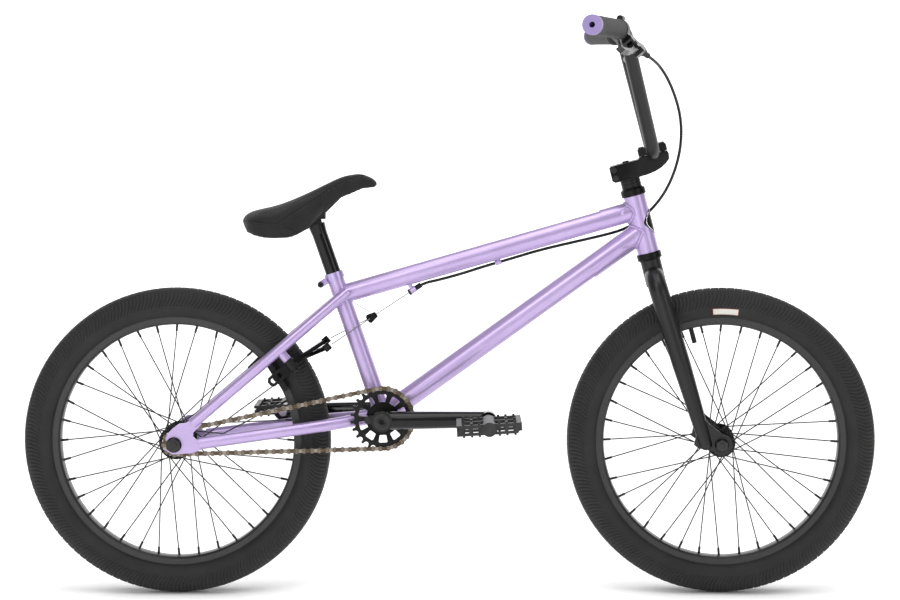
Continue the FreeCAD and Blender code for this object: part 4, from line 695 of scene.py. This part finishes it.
AHEAD = V((0.968148, 0, 0.25038))
TOP_OUT = V((-TOP_DIR.z, 0, TOP_DIR.x))
DOWN_OUT = V((DOWN_DIR.z, 0, -DOWN_DIR.x))
for side in (-1, 1):
    letter = "rl"[side > 0]
    edge_bead("weld_gusset_top_" + letter, TOP_FRONT - TOP_DIR * 0.062, TOP_DIR, TOP_OUT, 0.0166,
              (-side * 72, -side * 58), 0.046)
    edge_bead("weld_gusset_down_" + letter, DOWN_FRONT - DOWN_DIR * 0.110, DOWN_DIR, DOWN_OUT, 0.0181,
              (-side * 78, -side * 84), 0.090)


# ------------------------------------------------------------------ head badge
def badge_rim():
    """The plain head plate's raised bright border."""
    middle, skin = CROWN + UP * 0.050, 0.0189
    path = []
    for k in range(96):
        a = 2 * math.pi * k / 96
        y, h = 0.0170 * math.cos(a), 0.0204 * math.sin(a)
        path.append(middle + UP * h + V((0, y, 0)) + AHEAD * math.sqrt(skin ** 2 - y ** 2))
    tube("badge_rim", path, 0.0010, "bright", "frame", sides=10, closed=True)


badge_rim()


# ------------------------------------------------------------------ brake housing
HOUSING = [(0.3151, -0.1808, 0.8946), (0.3258, -0.1651, 0.8884), (0.3385, -0.140, 0.8785),
           (0.353, -0.115, 0.8605), (0.367, -0.086, 0.835), (0.379, -0.053, 0.8055), (0.3855, -0.020, 0.773),
           (0.385, 0.008, 0.7375), (0.376, 0.025, 0.7005), (0.362, 0.031, 0.671), (0.345, 0.032, 0.6485),
           (0.322, 0.030, 0.6265), (0.293, 0.0195, 0.6105), (0.256, 0.008, 0.601), (0.208, 0.002, 0.5905),
           (0.150, 0.0005, 0.577), (0.0993, 0, 0.5615), (0.0608, 0, 0.5506), (0.022, 0, 0.538),
           (-0.018, 0, 0.527), (-0.0425, 0, 0.5221), (-0.0548, 0, 0.5139)]


def brake_housing():
    """The outer cable as one smooth run from the lever to its stop."""
    line = smooth_line(HOUSING, 1, None, spacing=0.003)
    made = tube("housing_run", line, 0.0025, "jacket", None, sides=12)
    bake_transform(made)
    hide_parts("brake_housing")


brake_housing()


# ------------------------------------------------------------------ studio
# name, place, size and watts
LAMPS = [("key", (-1.5, -3.2, 3.0), 1.5, 32), ("fill", (3.0, -2.6, 1.6), 1.6, 18),
         ("low", (-1.3, -3.6, 0.9), 0.9, 14), ("top", (0.2, -0.7, 3.4), 2.6, 62)]


def studio():
    """A white sweep curving up behind the bicycle, a soft sky and four square lamps."""
    outline = [(-16.0, 0.0), (8.0, 0.0)]
    outline += [(8.0 + 1.6 * math.sin(a), 1.6 - 1.6 * math.cos(a))
                for a in (math.radians(6 * k) for k in range(1, 16))]
    outline.append((9.6, 9.0))
    verts = [(x, y, z) for y, z in outline for x in (-20.0, 20.0)]
    sweep = piece("studio_sweep", verts, grid_faces(len(outline), 2), "floor", None)
    world = bpy.data.worlds.new("studio")
    bpy.context.scene.world = world
    world.use_nodes = True
    sky = world.node_tree.nodes["Background"]
    sky.inputs["Color"].default_value = (1, 1, 1, 1)
    sky.inputs["Strength"].default_value = 0.26
    for name, place, size, power in LAMPS:
        lamp = bpy.data.lights.new(name, "AREA")
        lamp.size = size
        lamp.energy = power
        made = bpy.data.objects.new(name, lamp)
        made.location = place
        made.rotation_mode = "QUATERNION"
        made.rotation_quaternion = (V((0, 0, 0.4)) - V(place)).to_track_quat("-Z", "Y")
        bpy.context.scene.collection.objects.link(made)
    bpy.context.scene.view_settings.view_transform = "Standard"


def camera():
    """The photographed view: from the right side, a little above the middle, looking slightly down."""
    eye = bpy.data.cameras.new("camera")
    made = bpy.data.objects.new("camera", eye)
    bpy.context.scene.collection.objects.link(made)
    yaw, pitch = math.radians(-0.058), math.radians(4.241)
    forward = V((math.sin(yaw) * math.cos(pitch), math.cos(yaw) * math.cos(pitch), -math.sin(pitch)))
    made.location = (0.0056, -3.8699, 0.7805)
    made.rotation_mode = "QUATERNION"
    made.rotation_quaternion = forward.to_track_quat("-Z", "Y")
    eye.sensor_width = 36
    eye.lens = 92.73
    eye.clip_start, eye.clip_end = 0.05, 100
    bpy.context.scene.camera = made


studio()
camera()
